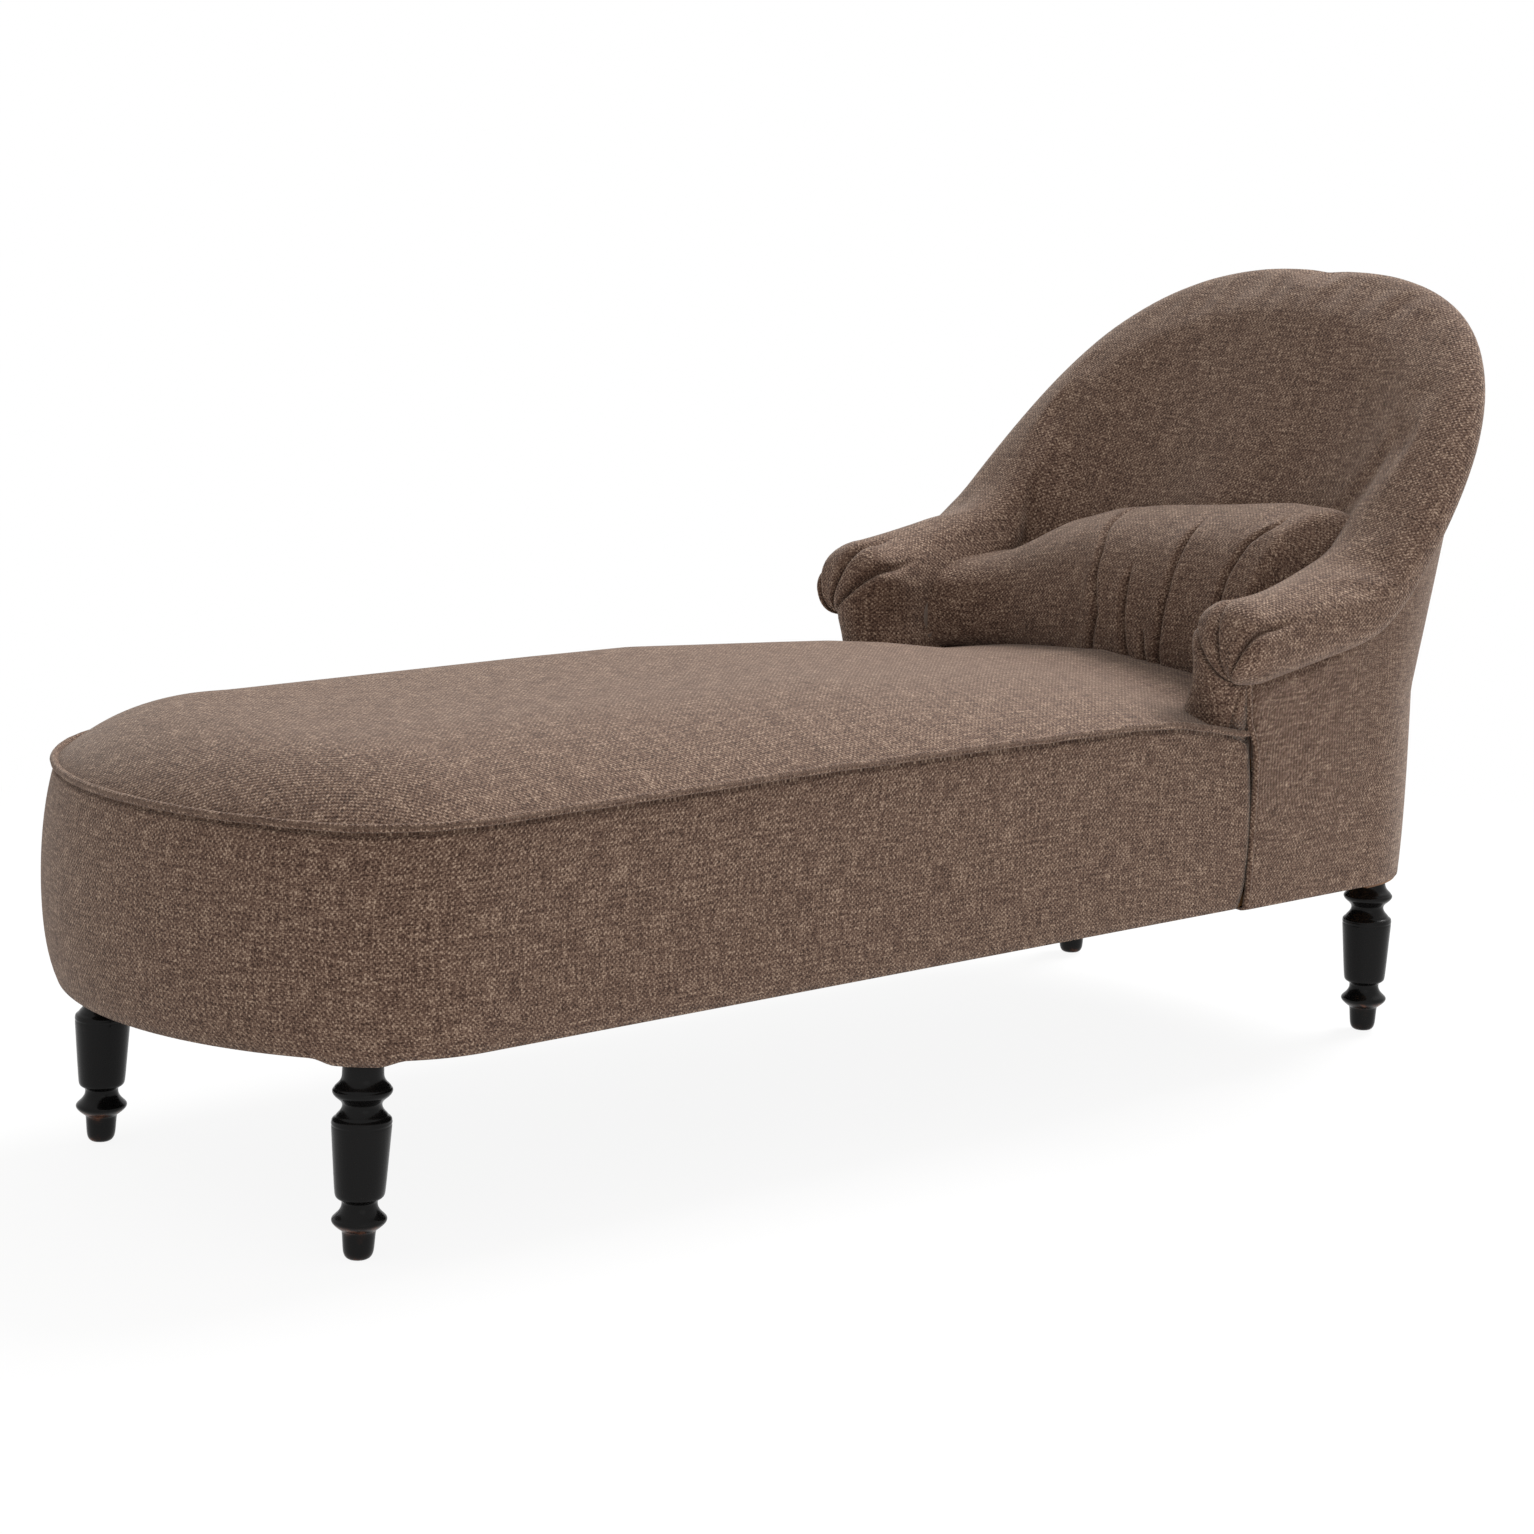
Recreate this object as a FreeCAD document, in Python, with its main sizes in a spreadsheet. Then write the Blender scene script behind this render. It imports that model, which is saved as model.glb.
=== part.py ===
import FreeCAD
import Part
import Sketcher
import math
import os

# Chaise sofa: +X points to the back, -X to the round foot end, +Z up.
# The origin is the bottom centre of the whole piece. All sizes are in millimetres.

SIZES = {
    # Seat
    "overall_length": 1616,  # foot tip to the back of the top roll
    "seat_half_width": 308,  # half width of the seat border at its fullest
    "foot_depth": 213,  # depth of the rounded foot end
    "foot_corner": 158,  # corner radius of the rounded foot end
    "block_drop": 18,  # underside of the leg blocks below the seat rails
    "rail_height": 92,  # height of the seat rails
    "rail_thick": 32,  # thickness of the seat rails
    "border_lap": 6,  # lower edge of the border cover below the seat rails
    "border_top": 392,  # sewn upper edge of the border cover
    "cover_thick": 5,  # thickness of a padded cover
    "top_cover_thick": 3,  # thickness of the seat top cover
    "tuck_bottom": 9,  # draw-in of the border at its lower edge
    "tuck_top": 5,  # draw-in of the border at its upper edge
    "crown": 50,  # rise of the seat above its edge
    "crown_level": 99.7,  # half width of the level middle of the seat
    "crown_fall": 0.72,  # share of the rise lost towards the back
    "welt_radius": 4,  # radius of the piping cord
    "fit_gap": 0.3,  # clearance between fitted pieces
    "cover_gap": 1,  # room between a cover and the frame behind it
    # Legs
    "leg_height": 170,  # floor to the underside of the leg block
    "leg_bead": 27,  # radius of the top bead and of the vase
    "leg_ankle": 15,  # radius of the ankle neck
    "leg_neck": 16.5,  # radius of the neck under the top bead
    "leg_ring": 25,  # radius of the lower ring
    "leg_toe": 16,  # radius of the toe peg
    "leg_tenon": 12,  # radius of the tenon
    "leg_tenon_length": 80,  # length of the tenon
    "foot_leg_out": 88,  # foot legs ahead of the start of the round end
    "foot_leg_in": 80.5,  # foot legs in from the side of the seat
    "foot_leg_rake": 2.35,  # lean of the foot legs in degrees
    "head_leg_back": 118,  # head legs behind the tub axis
    "head_leg_in": 78,  # head legs in from the side of the seat
    "block_depth": 130,  # length of a corner block
    "block_width": 128,  # inner side of a corner block in from the side of the seat
    # Tub back and arms
    "back_height": 822,  # floor to the top of the back roll
    "back_run": 289,  # tub axis to the rearmost point of the roll
    "rim_low": 495.1,  # height of the rim line over the tub axis
    "rim_in": 11,  # rim line in from the side of the seat
    "rim_power": 2.9,  # squareness of the rim line
    "roll_out": 58,  # half width of the roll across the rim
    "roll_thick": 24.5,  # half thickness of the roll
    "arm_length": 192,  # arm front to the tub axis
    "arm_front_in": 18,  # middle of the arm roll at the front, in from the side of the seat
    "arm_front_height": 463,  # height of the middle of the arm roll at the front
    "arm_roll_out": 47,  # half width of the arm roll at the front
    "arm_roll_up": 45,  # half height of the arm roll at the front
    "arm_width": 80,  # inner face of the arms in from the side of the seat
    "seam_low": 460,  # height of the roll seam at the tub axis
    "seam_fall": 42,  # fall of the roll seam along the arm
    "seam_drop": 64,  # roll seam behind the back below the top of the roll
    "panel_seam": 32,  # arm front to the front seam of the outside cover
    "wall_in": 3,  # outside cover in from the side of the seat
    "wall_start": 35,  # tub axis to the start of the rear corners
    "wall_depth": 145,  # depth of the rounded rear end
    "wall_corner": 130,  # corner radius of the rear end
    "wall_flare": 75,  # how far the rear end leans back at the top
    "wall_deepen": 8,  # how much deeper the rear end is at the top
    "wall_spread": 20,  # how far the sides spread at the top
    "wall_straight": 390,  # height up to which the outside stands upright
    "frame_depth": 32,  # depth of the bent back rails
    "frame_tall": 30,  # height of the bent back rails
    "stay_tall": 42,  # height of the stay rail
    "stay_depth": 21,  # depth of the stay rail
    "post_depth": 27,  # depth of the back posts
    "stay_height": 384,  # underside of the stay rail
    "pad_room": 5,  # room between the back pad and the frame behind it
    "pad_bottom": 360,  # underside of the back and arm pads
    "pad_depth_back": 58,  # tub axis to the inner back behind the lumbar roll
    "lumbar_front": 74,  # lumbar roll ahead of the tub axis
    "lumbar_top": 566,  # height of the fold over the lumbar roll
    "pleat_depth": 8,  # depth of the pleats in the lumbar roll
    "pleat_width": 13,  # half width of a pleat
    "pleat_first": 8,  # first pleat from the middle
    "pleat_step": -50,  # spacing of the pleats
    "lumbar_side": 505,  # height of that fold at the arms
    # Suspension
    "web_width": 45,  # width of a webbing strip
    "web_thick": 2,  # thickness of a webbing strip
    "web_rows": 5,  # number of long strips
    "web_row_step": 75,  # spacing of the long strips
    "web_columns": 9,  # number of cross strips
    "web_column_step": 110,  # spacing of the cross strips
    "web_first": -535,  # position of the first cross strip
    "spring_radius": 43,  # end radius of a coil spring
    "spring_waist": 27,  # waist radius of a coil spring
    "spring_height": 152,  # height of a fitted coil spring
    "spring_wire": 4,  # wire thickness
    "spring_turns": 3,  # turns of a coil spring
    "twine": 3,  # thickness of the lacing twine
    "hessian_thick": 1.5,  # thickness of the hessian
}

doc = FreeCAD.newDocument("chaise")
sheet = doc.addObject("Spreadsheet::Sheet", "sheet")
for row, name in enumerate(SIZES, start=1):
    sheet.set("A%d" % row, name)
    sheet.set("B%d" % row, str(SIZES[name]))
    sheet.setAlias("B%d" % row, name)
doc.recompute()


def size(name):
    return float(sheet.get(name))


def vec(x, y, z):
    return FreeCAD.Vector(x, y, z)


# Positions shared by several pieces, as numbers and as expressions
TIP_X = -size("overall_length") / 2
FOOT_X = TIP_X + size("foot_depth")
TUB_X = size("overall_length") / 2 - size("back_run")
ARM_X = TUB_X - size("arm_length")
SEAM_X = ARM_X + size("panel_seam")
WALL_X = TUB_X + size("wall_start")
SIDE = size("seat_half_width")
WALL_HALF = SIDE - size("wall_in")
ARM_INNER = SIDE - size("arm_width")
BLOCK_INNER = SIDE - size("block_width")
FOOT_LEG_Y = SIDE - size("foot_leg_in")
HEAD_LEG_Y = SIDE - size("head_leg_in")
RAIL_LOW = size("leg_height") + size("block_drop")
RAIL_TOP = RAIL_LOW + size("rail_height")
BORDER_LOW = RAIL_LOW - size("border_lap")
SEAM_TOP = size("back_height") - size("seam_drop")
GAP = size("fit_gap")
FOOT_EXPR = "(-sheet.overall_length / 2 + sheet.foot_depth)"
TUB_EXPR = "(sheet.overall_length / 2 - sheet.back_run)"
WALL_EXPR = "(%s + sheet.wall_start)" % TUB_EXPR
FOOT_LEG_EXPR = "(sheet.seat_half_width - sheet.foot_leg_in)"
HEAD_LEG_EXPR = "(sheet.seat_half_width - sheet.head_leg_in)"
RAIL_LOW_EXPR = "(sheet.leg_height + sheet.block_drop)"
RAIL_INSET_EXPR = "(sheet.tuck_bottom + sheet.cover_thick + sheet.fit_gap)"
RAIL_INSET = size("tuck_bottom") + size("cover_thick") + GAP
RAIL_FACE_EXPR = "(sheet.seat_half_width - %s)" % RAIL_INSET_EXPR
finished = []


def bind(item, **formulas):
    for prop, formula in formulas.items():
        item.setExpression(prop.replace("__", "."), formula)
    return item


def place(item, x=None, y=None, z=None):
    for axis, formula in (("x", x), ("y", y), ("z", z)):
        if formula is not None:
            item.setExpression("Placement.Base." + axis, formula)
    return item


def hold(name, shape):
    """Keep a shape that Part's functions made."""
    item = doc.addObject("Part::Feature", name)
    item.Shape = shape
    return item


def join(kind, name, base, tool):
    item = doc.addObject("Part::" + kind, name)
    item.Base = base
    item.Tool = tool
    return item


def deliver(node, item):
    item.Label = node
    finished.append((node, item))
    return item


# Rounded ends: a straight side, a corner arc, one wide end arc and back again


def end_arcs(half, depth, corner):
    """Centre offset, radius and half angle of the wide end arc."""
    offset = ((half - corner) ** 2 - (depth - corner) ** 2) / (2 * (depth - corner))
    return offset, depth + offset, math.atan2(half - corner, offset)


def end_wire(half, depth, corner, start, close, z, way):
    """Closed wire round one end; way is -1 for the foot end and 1 for the back."""
    offset, wide, turn = end_arcs(half, depth, corner)
    sweep = math.pi / 2 - turn
    side = half - corner

    def on_corner(angle, sign):
        return vec(start + way * corner * math.sin(angle), sign * (side + corner * math.cos(angle)), z)

    def on_end(angle):
        return vec(start + way * (wide * math.cos(angle) - offset), wide * math.sin(angle), z)

    edges = [
        Part.Arc(on_corner(0, -1), on_corner(sweep / 2, -1), on_corner(sweep, -1)).toShape(),
        Part.Arc(on_end(-turn), on_end(0), on_end(turn)).toShape(),
        Part.Arc(on_corner(sweep, 1), on_corner(sweep / 2, 1), on_corner(0, 1)).toShape(),
    ]
    if abs(close - start) > 0.01:
        edges.insert(0, Part.makeLine(vec(close, -half, z), vec(start, -half, z)))
        edges.append(Part.makeLine(vec(start, half, z), vec(close, half, z)))
    edges.append(Part.makeLine(vec(close, half, z), vec(close, -half, z)))
    return Part.Wire(edges)


def foot_wire(inset, z, close):
    """Seat outline moved inwards by inset; the arcs keep their centres."""
    return end_wire(
        size("seat_half_width") - inset, size("foot_depth") - inset,
        size("foot_corner") - inset, FOOT_X, close, z, -1)


def border_inset(z):
    """Draw-in of the border at a height: fullest half way up."""
    share = 2 * (z - BORDER_LOW) / (size("border_top") - BORDER_LOW) - 1
    pull = size("tuck_top") if share > 0 else size("tuck_bottom")
    return pull * share * share


def foot_x(y, inset):
    """Where the foot outline meets a line along the seat."""
    half = size("seat_half_width") - inset
    depth = size("foot_depth") - inset
    corner = size("foot_corner") - inset
    offset, wide, turn = end_arcs(half, depth, corner)
    if abs(y) <= wide * math.sin(turn):
        return FOOT_X + offset - math.sqrt(wide * wide - y * y)
    reach = abs(y) - (half - corner)
    return FOOT_X - math.sqrt(corner * corner - reach * reach)


# Outside wall of the tub: upright to seat height, then leaning out


def wall_outline(z, inset):
    """Half width, start, depth and corner of the outside wall at a height."""
    rise = (z - size("wall_straight")) / (SEAM_TOP - size("wall_straight"))
    lean = max(0.0, rise)
    half = WALL_HALF + size("wall_spread") * lean - inset
    start = WALL_X + size("wall_flare") * lean
    corner = size("wall_corner") - inset
    depth = size("wall_depth") - inset + size("wall_deepen") * lean
    return half, start, depth, corner


def wall_wire(z, inset, close):
    half, start, depth, corner = wall_outline(z, inset)
    return end_wire(half, depth, corner, start, close, z, 1)


def wall_reach(turn, z, inset):
    """Distance from the tub axis to the wall in a direction seen from above."""
    half, start, depth, corner = wall_outline(z, inset)
    offset, wide, limit = end_arcs(half, depth, corner)
    across, along = abs(math.sin(turn)), math.cos(turn)
    middle = start - offset - TUB_X
    if along > 1e-6:
        root = wide * wide - (middle * across) ** 2
        reach = middle * along + math.sqrt(max(0.0, root))
        if reach * across <= wide * math.sin(limit):
            return reach
    lead = start - TUB_X
    side = half - corner
    dot = lead * along + side * across
    root = dot * dot - lead * lead - side * side + corner * corner
    if root > 0:
        reach = dot + math.sqrt(root)
        if reach * along >= lead:
            return reach
    return half / across


# Rim line and roll of the tub back

RAKE = math.pi / 4
for step in range(60):
    REACH_BACK = math.hypot(size("roll_out") * math.cos(RAKE), size("roll_thick") * math.sin(RAKE))
    REACH_UP = math.hypot(size("roll_out") * math.sin(RAKE), size("roll_thick") * math.cos(RAKE))
    RIM_RUN = size("back_run") - REACH_BACK
    RAKE = math.atan2(size("back_height") - REACH_UP - size("rim_low"), RIM_RUN)
RIM_LOW = size("rim_low")


def rim(turn):
    """Distance and height of the rim line in a direction from the tub axis."""
    power = size("rim_power")
    along = abs(math.cos(turn)) / RIM_RUN
    across = abs(math.sin(turn)) / (SIDE - size("rim_in"))
    reach = (along ** power + across ** power) ** (-1 / power)
    return reach, RIM_LOW + reach * math.cos(turn) * math.tan(RAKE)


def roll_point(turn, angle):
    """Point of the roll in the upright plane at turn; angle 0 is outermost."""
    reach, height = rim(turn)
    lean = math.cos(turn)
    out_r = size("roll_out") * (1 - lean * (1 - math.cos(RAKE)))
    out_z = size("roll_out") * math.sin(RAKE) * lean
    top_r = -size("roll_thick") * math.sin(RAKE) * lean
    top_z = size("roll_thick") * (lean * math.cos(RAKE) + (1 - lean) / math.cos(RAKE))
    wide, tall = math.cos(angle), math.sin(angle)
    return reach + out_r * wide + top_r * tall, height + out_z * wide + top_z * tall


def seam_height(turn):
    """Height at which the roll meets the outside wall."""
    end = wall_reach(0, SEAM_TOP, 0)
    height = size("seam_low")
    for step in range(12):
        along = wall_reach(turn, height, 0) * math.cos(turn)
        height = size("seam_low") + (SEAM_TOP - size("seam_low")) * along / end
    return height


def frame_line(turn, z):
    """Inner face of the bent back frame at a height."""
    low = size("pad_bottom")
    high = seam_height(turn)
    depth = size("cover_thick") + GAP + size("frame_depth")
    first = wall_reach(turn, low, depth)
    last = wall_reach(turn, high, depth)
    return first + (last - first) * (z - low) / (high - low)


def at_turn(turn, reach, z):
    return vec(TUB_X + reach * math.cos(turn), reach * math.sin(turn), z)


def ring(points):
    return Part.makePolygon(points + [points[0]])


def tub_turns(count, limit):
    return [math.radians(limit * (2 * k / (count - 1) - 1)) for k in range(count)]


def bent_rail(turns, corners):
    """Loft a four-cornered rail round the tub."""
    rings = []
    for turn in turns:
        rings.append(ring([at_turn(turn, reach, z) for reach, z in corners(turn)]))
    return Part.makeLoft(rings, True, True)


# Turned legs


def segment(first, last):
    """Line or arc between two profile spots, and which of its ends is the first spot."""
    x0, z0, bulge = first
    x1, z1 = last[:2]
    start, stop = vec(x0, z0, 0), vec(x1, z1, 0)
    if not bulge:
        return Part.LineSegment(start, stop), 1
    length = (stop - start).Length
    middle = (start + stop) * 0.5 + vec(z1 - z0, x0 - x1, 0) * (bulge / length)
    circle = Part.Arc(start, middle, stop).toShape().Curve
    centre, radius = circle.Center, circle.Radius
    turn0 = math.atan2(z0 - centre.y, x0 - centre.x)
    turn1 = math.atan2(z1 - centre.y, x1 - centre.x)
    whole = Part.Circle(centre, vec(0, 0, 1), radius)
    if (start - centre).cross(stop - centre).z > 0:
        return Part.ArcOfCircle(whole, turn0, turn1), 1
    return Part.ArcOfCircle(whole, turn1, turn0), 2


def tie(sketch, kind, k, end, value, text):
    """Dimension one profile spot from the sketch origin and bind it to the sheet."""
    spot = sketch.addConstraint(Sketcher.Constraint(kind, -1, 1, k, end, value))
    sketch.setExpression("Constraints[%d]" % spot, text)


def turned_leg(name):
    """One leg as a revolved sketch: toe, ring, ankle, vase, neck, bead, tenon."""
    body = doc.addObject("PartDesign::Body", name)
    sketch = body.newObject("Sketcher::SketchObject", name + "_profile")
    plane = [item for item in body.Origin.OriginFeatures if item.Role == "XZ_Plane"][0]
    sketch.AttachmentSupport = [(plane, "")]
    sketch.MapMode = "FlatFace"
    height = "sheet.leg_height"
    steps = [
        ("0", "0", "0"),
        ("sheet.leg_toe * 0.72", "0", "0"),
        ("sheet.leg_toe", height + " * 0.045", "0"),
        ("sheet.leg_toe + 0.6", height + " * 0.165", "0"),
        ("sheet.leg_ring - 3", height + " * 0.188", "0"),
        ("sheet.leg_ring", height + " * 0.212", "0"),
        ("sheet.leg_ankle", height + " * 0.298", "0"),
        ("sheet.leg_bead - 5", height + " * 0.34", "0"),
        ("sheet.leg_bead", height + " * 0.735", "0"),
        ("sheet.leg_bead - 5", height + " * 0.78", "0"),
        ("sheet.leg_neck", height + " * 0.845", "0"),
        ("sheet.leg_bead - 4", height + " * 0.878", "0"),
        ("sheet.leg_bead", height + " * 0.905", "0"),
        ("sheet.leg_bead - 3", height + " * 0.945", "0"),
        ("sheet.leg_neck + 2.5", height + " * 0.97", "0"),
        ("sheet.leg_neck + 2.5", height, "0"),
        ("sheet.leg_tenon", height, "0"),
        ("sheet.leg_tenon", height + " + sheet.leg_tenon_length", "0"),
        ("0", height + " + sheet.leg_tenon_length", "0"),
    ]
    spots = []
    for across, up, bulge in steps:
        spots.append(tuple(float(sketch.evalExpression(text)) for text in (across, up, bulge)))
    count = len(spots)
    starts = []
    for k in range(count):
        item, start = segment(spots[k], spots[(k + 1) % count])
        sketch.addGeometry(item)
        starts.append(start)
    for k in range(count):
        before = (k - 1) % count
        sketch.addConstraint(Sketcher.Constraint("Coincident", before, 3 - starts[before], k, starts[k]))
        if steps[k][0] == "0" and steps[k][1] == "0":
            sketch.addConstraint(Sketcher.Constraint("Coincident", k, starts[k], -1, 1))
            continue
        if steps[k][0] == "0":
            sketch.addConstraint(Sketcher.Constraint("PointOnObject", k, starts[k], -2))
        else:
            tie(sketch, "DistanceX", k, starts[k], spots[k][0], steps[k][0])
        if steps[k][1] == "0":
            sketch.addConstraint(Sketcher.Constraint("PointOnObject", k, starts[k], -1))
        else:
            tie(sketch, "DistanceY", k, starts[k], spots[k][1], steps[k][1])
        if spots[k][2]:
            sketch.addConstraint(Sketcher.Constraint("Radius", k, sketch.Geometry[k].Radius))
    turn = body.newObject("PartDesign::Revolution", name + "_turned")
    turn.Profile = sketch
    turn.ReferenceAxis = (sketch, ["V_Axis"])
    turn.Angle = 360
    body.Tip = turn
    return body


def bore(name, x, y, z, rake):
    """Hole for a leg tenon, open to the underside."""
    hole = doc.addObject("Part::Cylinder", name)
    bind(hole, Radius="sheet.leg_tenon + sheet.fit_gap", Height="sheet.leg_tenon_length + sheet.fit_gap")
    hole.Placement = FreeCAD.Placement(vec(0, 0, 0), FreeCAD.Rotation(vec(0, 1, 0), rake))
    return place(hole, x, y, z)


rake = size("foot_leg_rake")
for side, sign in (("left", 1), ("right", -1)):
    leg = turned_leg("foot_leg_body_" + side)
    leg.Placement = FreeCAD.Placement(vec(0, 0, 0), FreeCAD.Rotation(vec(0, 1, 0), rake))
    place(leg, FOOT_EXPR + " - sheet.foot_leg_out", "%d * %s" % (sign, FOOT_LEG_EXPR), "0")
    floor = doc.addObject("Part::Box", "foot_trim_" + side)
    bind(floor, Length="sheet.leg_bead * 4", Width="sheet.leg_bead * 4", Height="sheet.leg_bead")
    place(floor, FOOT_EXPR + " - sheet.foot_leg_out - sheet.leg_bead * 2",
          "%d * %s - sheet.leg_bead * 2" % (sign, FOOT_LEG_EXPR), "0 - sheet.leg_bead + 0.7")
    trimmed = join("Cut", "foot_leg_" + side, leg, floor)
    place(trimmed, z="0 - 0.7")
    deliver("leg_foot_" + side, trimmed)
    leg = turned_leg("head_leg_body_" + side)
    place(leg, TUB_EXPR + " + sheet.head_leg_back", "%d * %s" % (sign, HEAD_LEG_EXPR), "0")
    deliver("leg_head_" + side, leg)

# Corner blocks, each bored for a leg and shaped to the rounded ends

BLOCK_FOOT = foot_wire(RAIL_INSET, RAIL_LOW, FOOT_X)
foot_prism = hold("foot_prism", Part.Face(BLOCK_FOOT).extrude(vec(0, 0, size("rail_height"))))
foot_hollow = hold("foot_hollow", Part.Face(
    foot_wire(RAIL_INSET + size("rail_thick"), RAIL_LOW, FOOT_X)
    ).extrude(vec(0, 0, size("rail_height"))))
wall_inset = size("cover_thick") + size("cover_gap")
head_prism = hold("head_prism", Part.Face(
    wall_wire(size("leg_height"), wall_inset, WALL_X)).extrude(vec(0, 0, RAIL_TOP - size("leg_height"))))
head_hollow = hold("head_hollow", Part.Face(
    wall_wire(size("leg_height"), wall_inset + size("rail_thick"), WALL_X)
    ).extrude(vec(0, 0, RAIL_TOP - size("leg_height"))))
foot_band = join("Cut", "foot_band", foot_prism, foot_hollow)
head_band = join("Cut", "head_band", head_prism, head_hollow)


def corner_box(name, x, sign, z, height):
    box = doc.addObject("Part::Box", name)
    bind(box, Length="sheet.block_depth", Width="sheet.block_width", Height=height)
    across = "sheet.seat_half_width - sheet.block_width" if sign > 0 else "0 - sheet.seat_half_width"
    return place(box, x, across, z)


foot_boxes = []
head_boxes = []
for side, sign in (("left", 1), ("right", -1)):
    box = corner_box("foot_corner_" + side, FOOT_EXPR + " - sheet.block_depth", sign,
                     RAIL_LOW_EXPR, "sheet.rail_height")
    foot_boxes.append(box)
    shaped = join("Common", "foot_shaped_" + side, box, foot_prism)
    pad = doc.addObject("Part::Cone", "foot_pad_" + side)
    bind(pad, Radius1="sheet.leg_bead - 1", Radius2="sheet.leg_bead + 2",
         Height="sheet.block_drop")
    place(pad, FOOT_EXPR + " - sheet.foot_leg_out + tan(sheet.foot_leg_rake) * sheet.leg_height",
          "%d * %s" % (sign, FOOT_LEG_EXPR), "sheet.leg_height")
    whole = join("Fuse", "foot_whole_" + side, shaped, pad)
    hole = bore("foot_bore_" + side, FOOT_EXPR + " - sheet.foot_leg_out",
                "%d * %s" % (sign, FOOT_LEG_EXPR), "0 - 0.7", rake)
    bind(hole, Height="sheet.leg_height + sheet.leg_tenon_length + sheet.fit_gap")
    deliver("foot_block_" + side, join("Cut", "foot_block_cut_" + side, whole, hole))
    box = corner_box("head_corner_" + side, WALL_EXPR, sign, "sheet.leg_height",
                     "sheet.block_drop + sheet.rail_height")
    head_boxes.append(box)
    shaped = join("Common", "head_shaped_" + side, box, head_prism)
    hole = bore("head_bore_" + side, TUB_EXPR + " + sheet.head_leg_back",
                "%d * %s" % (sign, HEAD_LEG_EXPR), "sheet.leg_height", 0)
    deliver("head_block_" + side, join("Cut", "head_block_cut_" + side, shaped, hole))

# Seat rails between the blocks

foot_pair = join("Fuse", "foot_pair", foot_boxes[0], foot_boxes[1])
deliver("foot_rail", join("Cut", "foot_rail_cut", foot_band, foot_pair))
head_pair = join("Fuse", "head_pair", head_boxes[0], head_boxes[1])
lift = doc.addObject("Part::Box", "head_rail_lift")
bind(lift, Length="sheet.block_depth * 4", Width="sheet.seat_half_width * 2",
     Height="sheet.block_drop")
place(lift, WALL_EXPR, "0 - sheet.seat_half_width", "sheet.leg_height")
head_raised = join("Cut", "head_raised", head_band, lift)
deliver("head_rail", join("Cut", "head_rail_cut", head_raised, head_pair))
for side, sign in (("left", 1), ("right", -1)):
    rail = doc.addObject("Part::Box", "side_rail_" + side)
    bind(rail, Length="%s - %s" % (WALL_EXPR, FOOT_EXPR), Width="sheet.rail_thick", Height="sheet.rail_height")
    across = RAIL_FACE_EXPR + " - sheet.rail_thick" if sign > 0 else "0 - " + RAIL_FACE_EXPR
    deliver("side_rail_" + side, place(rail, FOOT_EXPR, across, RAIL_LOW_EXPR))
braces = []
for k in (3, 7):
    brace = doc.addObject("Part::Box", "brace_%d" % k)
    bind(brace, Length="sheet.rail_thick", Width="2 * (%s - sheet.rail_thick)" % RAIL_FACE_EXPR,
         Height="sheet.rail_thick")
    place(brace, "sheet.web_first + %g * sheet.web_column_step - sheet.rail_thick / 2" % (k - 0.5),
          "sheet.rail_thick - " + RAIL_FACE_EXPR, RAIL_LOW_EXPR + " + 2 * sheet.web_thick + 6")
    braces.append(brace)
deliver("seat_cross_braces", join("Fuse", "braces", braces[0], braces[1]))

# Woven webbing under the rails

ROWS = int(size("web_rows"))
COLUMNS = int(size("web_columns"))
ROW_Y = [size("web_row_step") * (k - (ROWS - 1) / 2) for k in range(ROWS)]
COLUMN_X = [size("web_first") + size("web_column_step") * k for k in range(COLUMNS)]
WEB_Z = RAIL_LOW


def woven(start, stop, crossings, first_over):
    """Profile of one strip that goes over and under the strips it crosses."""
    thick = size("web_thick")
    reach = size("web_width") / 2 + 2
    ramp = 9
    line = [(start, 0)]
    for k, spot in enumerate(crossings):
        if (k % 2 == 0) == first_over:
            line += [(spot - reach - ramp, 0), (spot - reach, thick), (spot + reach, thick), (spot + reach + ramp, 0)]
    line.append((stop, 0))
    return line + [(u, z - thick) for u, z in reversed(line)]


long_strips = []
for k, y in enumerate(ROW_Y):
    edge = y + math.copysign(size("web_width") / 2, y)
    start = foot_x(edge, RAIL_INSET + 6)
    stop = WALL_X + size("wall_depth") - size("cover_thick") - 16 - abs(y) * 0.2
    profile = woven(start, stop, COLUMN_X, k % 2 == 0)
    low = y - size("web_width") / 2
    face = Part.Face(ring([vec(u, low, WEB_Z + z) for u, z in profile]))
    long_strips.append(face.extrude(vec(0, size("web_width"), 0)))
deliver("webbing_long", hold("webbing_long", Part.makeCompound(long_strips)))
cross_strips = []
stop = size("seat_half_width") - RAIL_INSET - 6
for k, x in enumerate(COLUMN_X):
    profile = woven(-stop, stop, ROW_Y, k % 2 == 1)
    low = x - size("web_width") / 2
    face = Part.Face(ring([vec(low, u, WEB_Z + z) for u, z in profile]))
    cross_strips.append(face.extrude(vec(size("web_width"), 0, 0)))
deliver("webbing_cross", hold("webbing_cross", Part.makeCompound(cross_strips)))

# Coil springs on every second crossing, waisted in the middle

SPRING_Z = WEB_Z + size("web_thick")
SPRING_TOP = SPRING_Z + size("spring_height")
SPRING_X = COLUMN_X[0:COLUMNS:2]
SPRING_Y = ROW_Y[0:ROWS:2]
PER_TURN = 8


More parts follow.
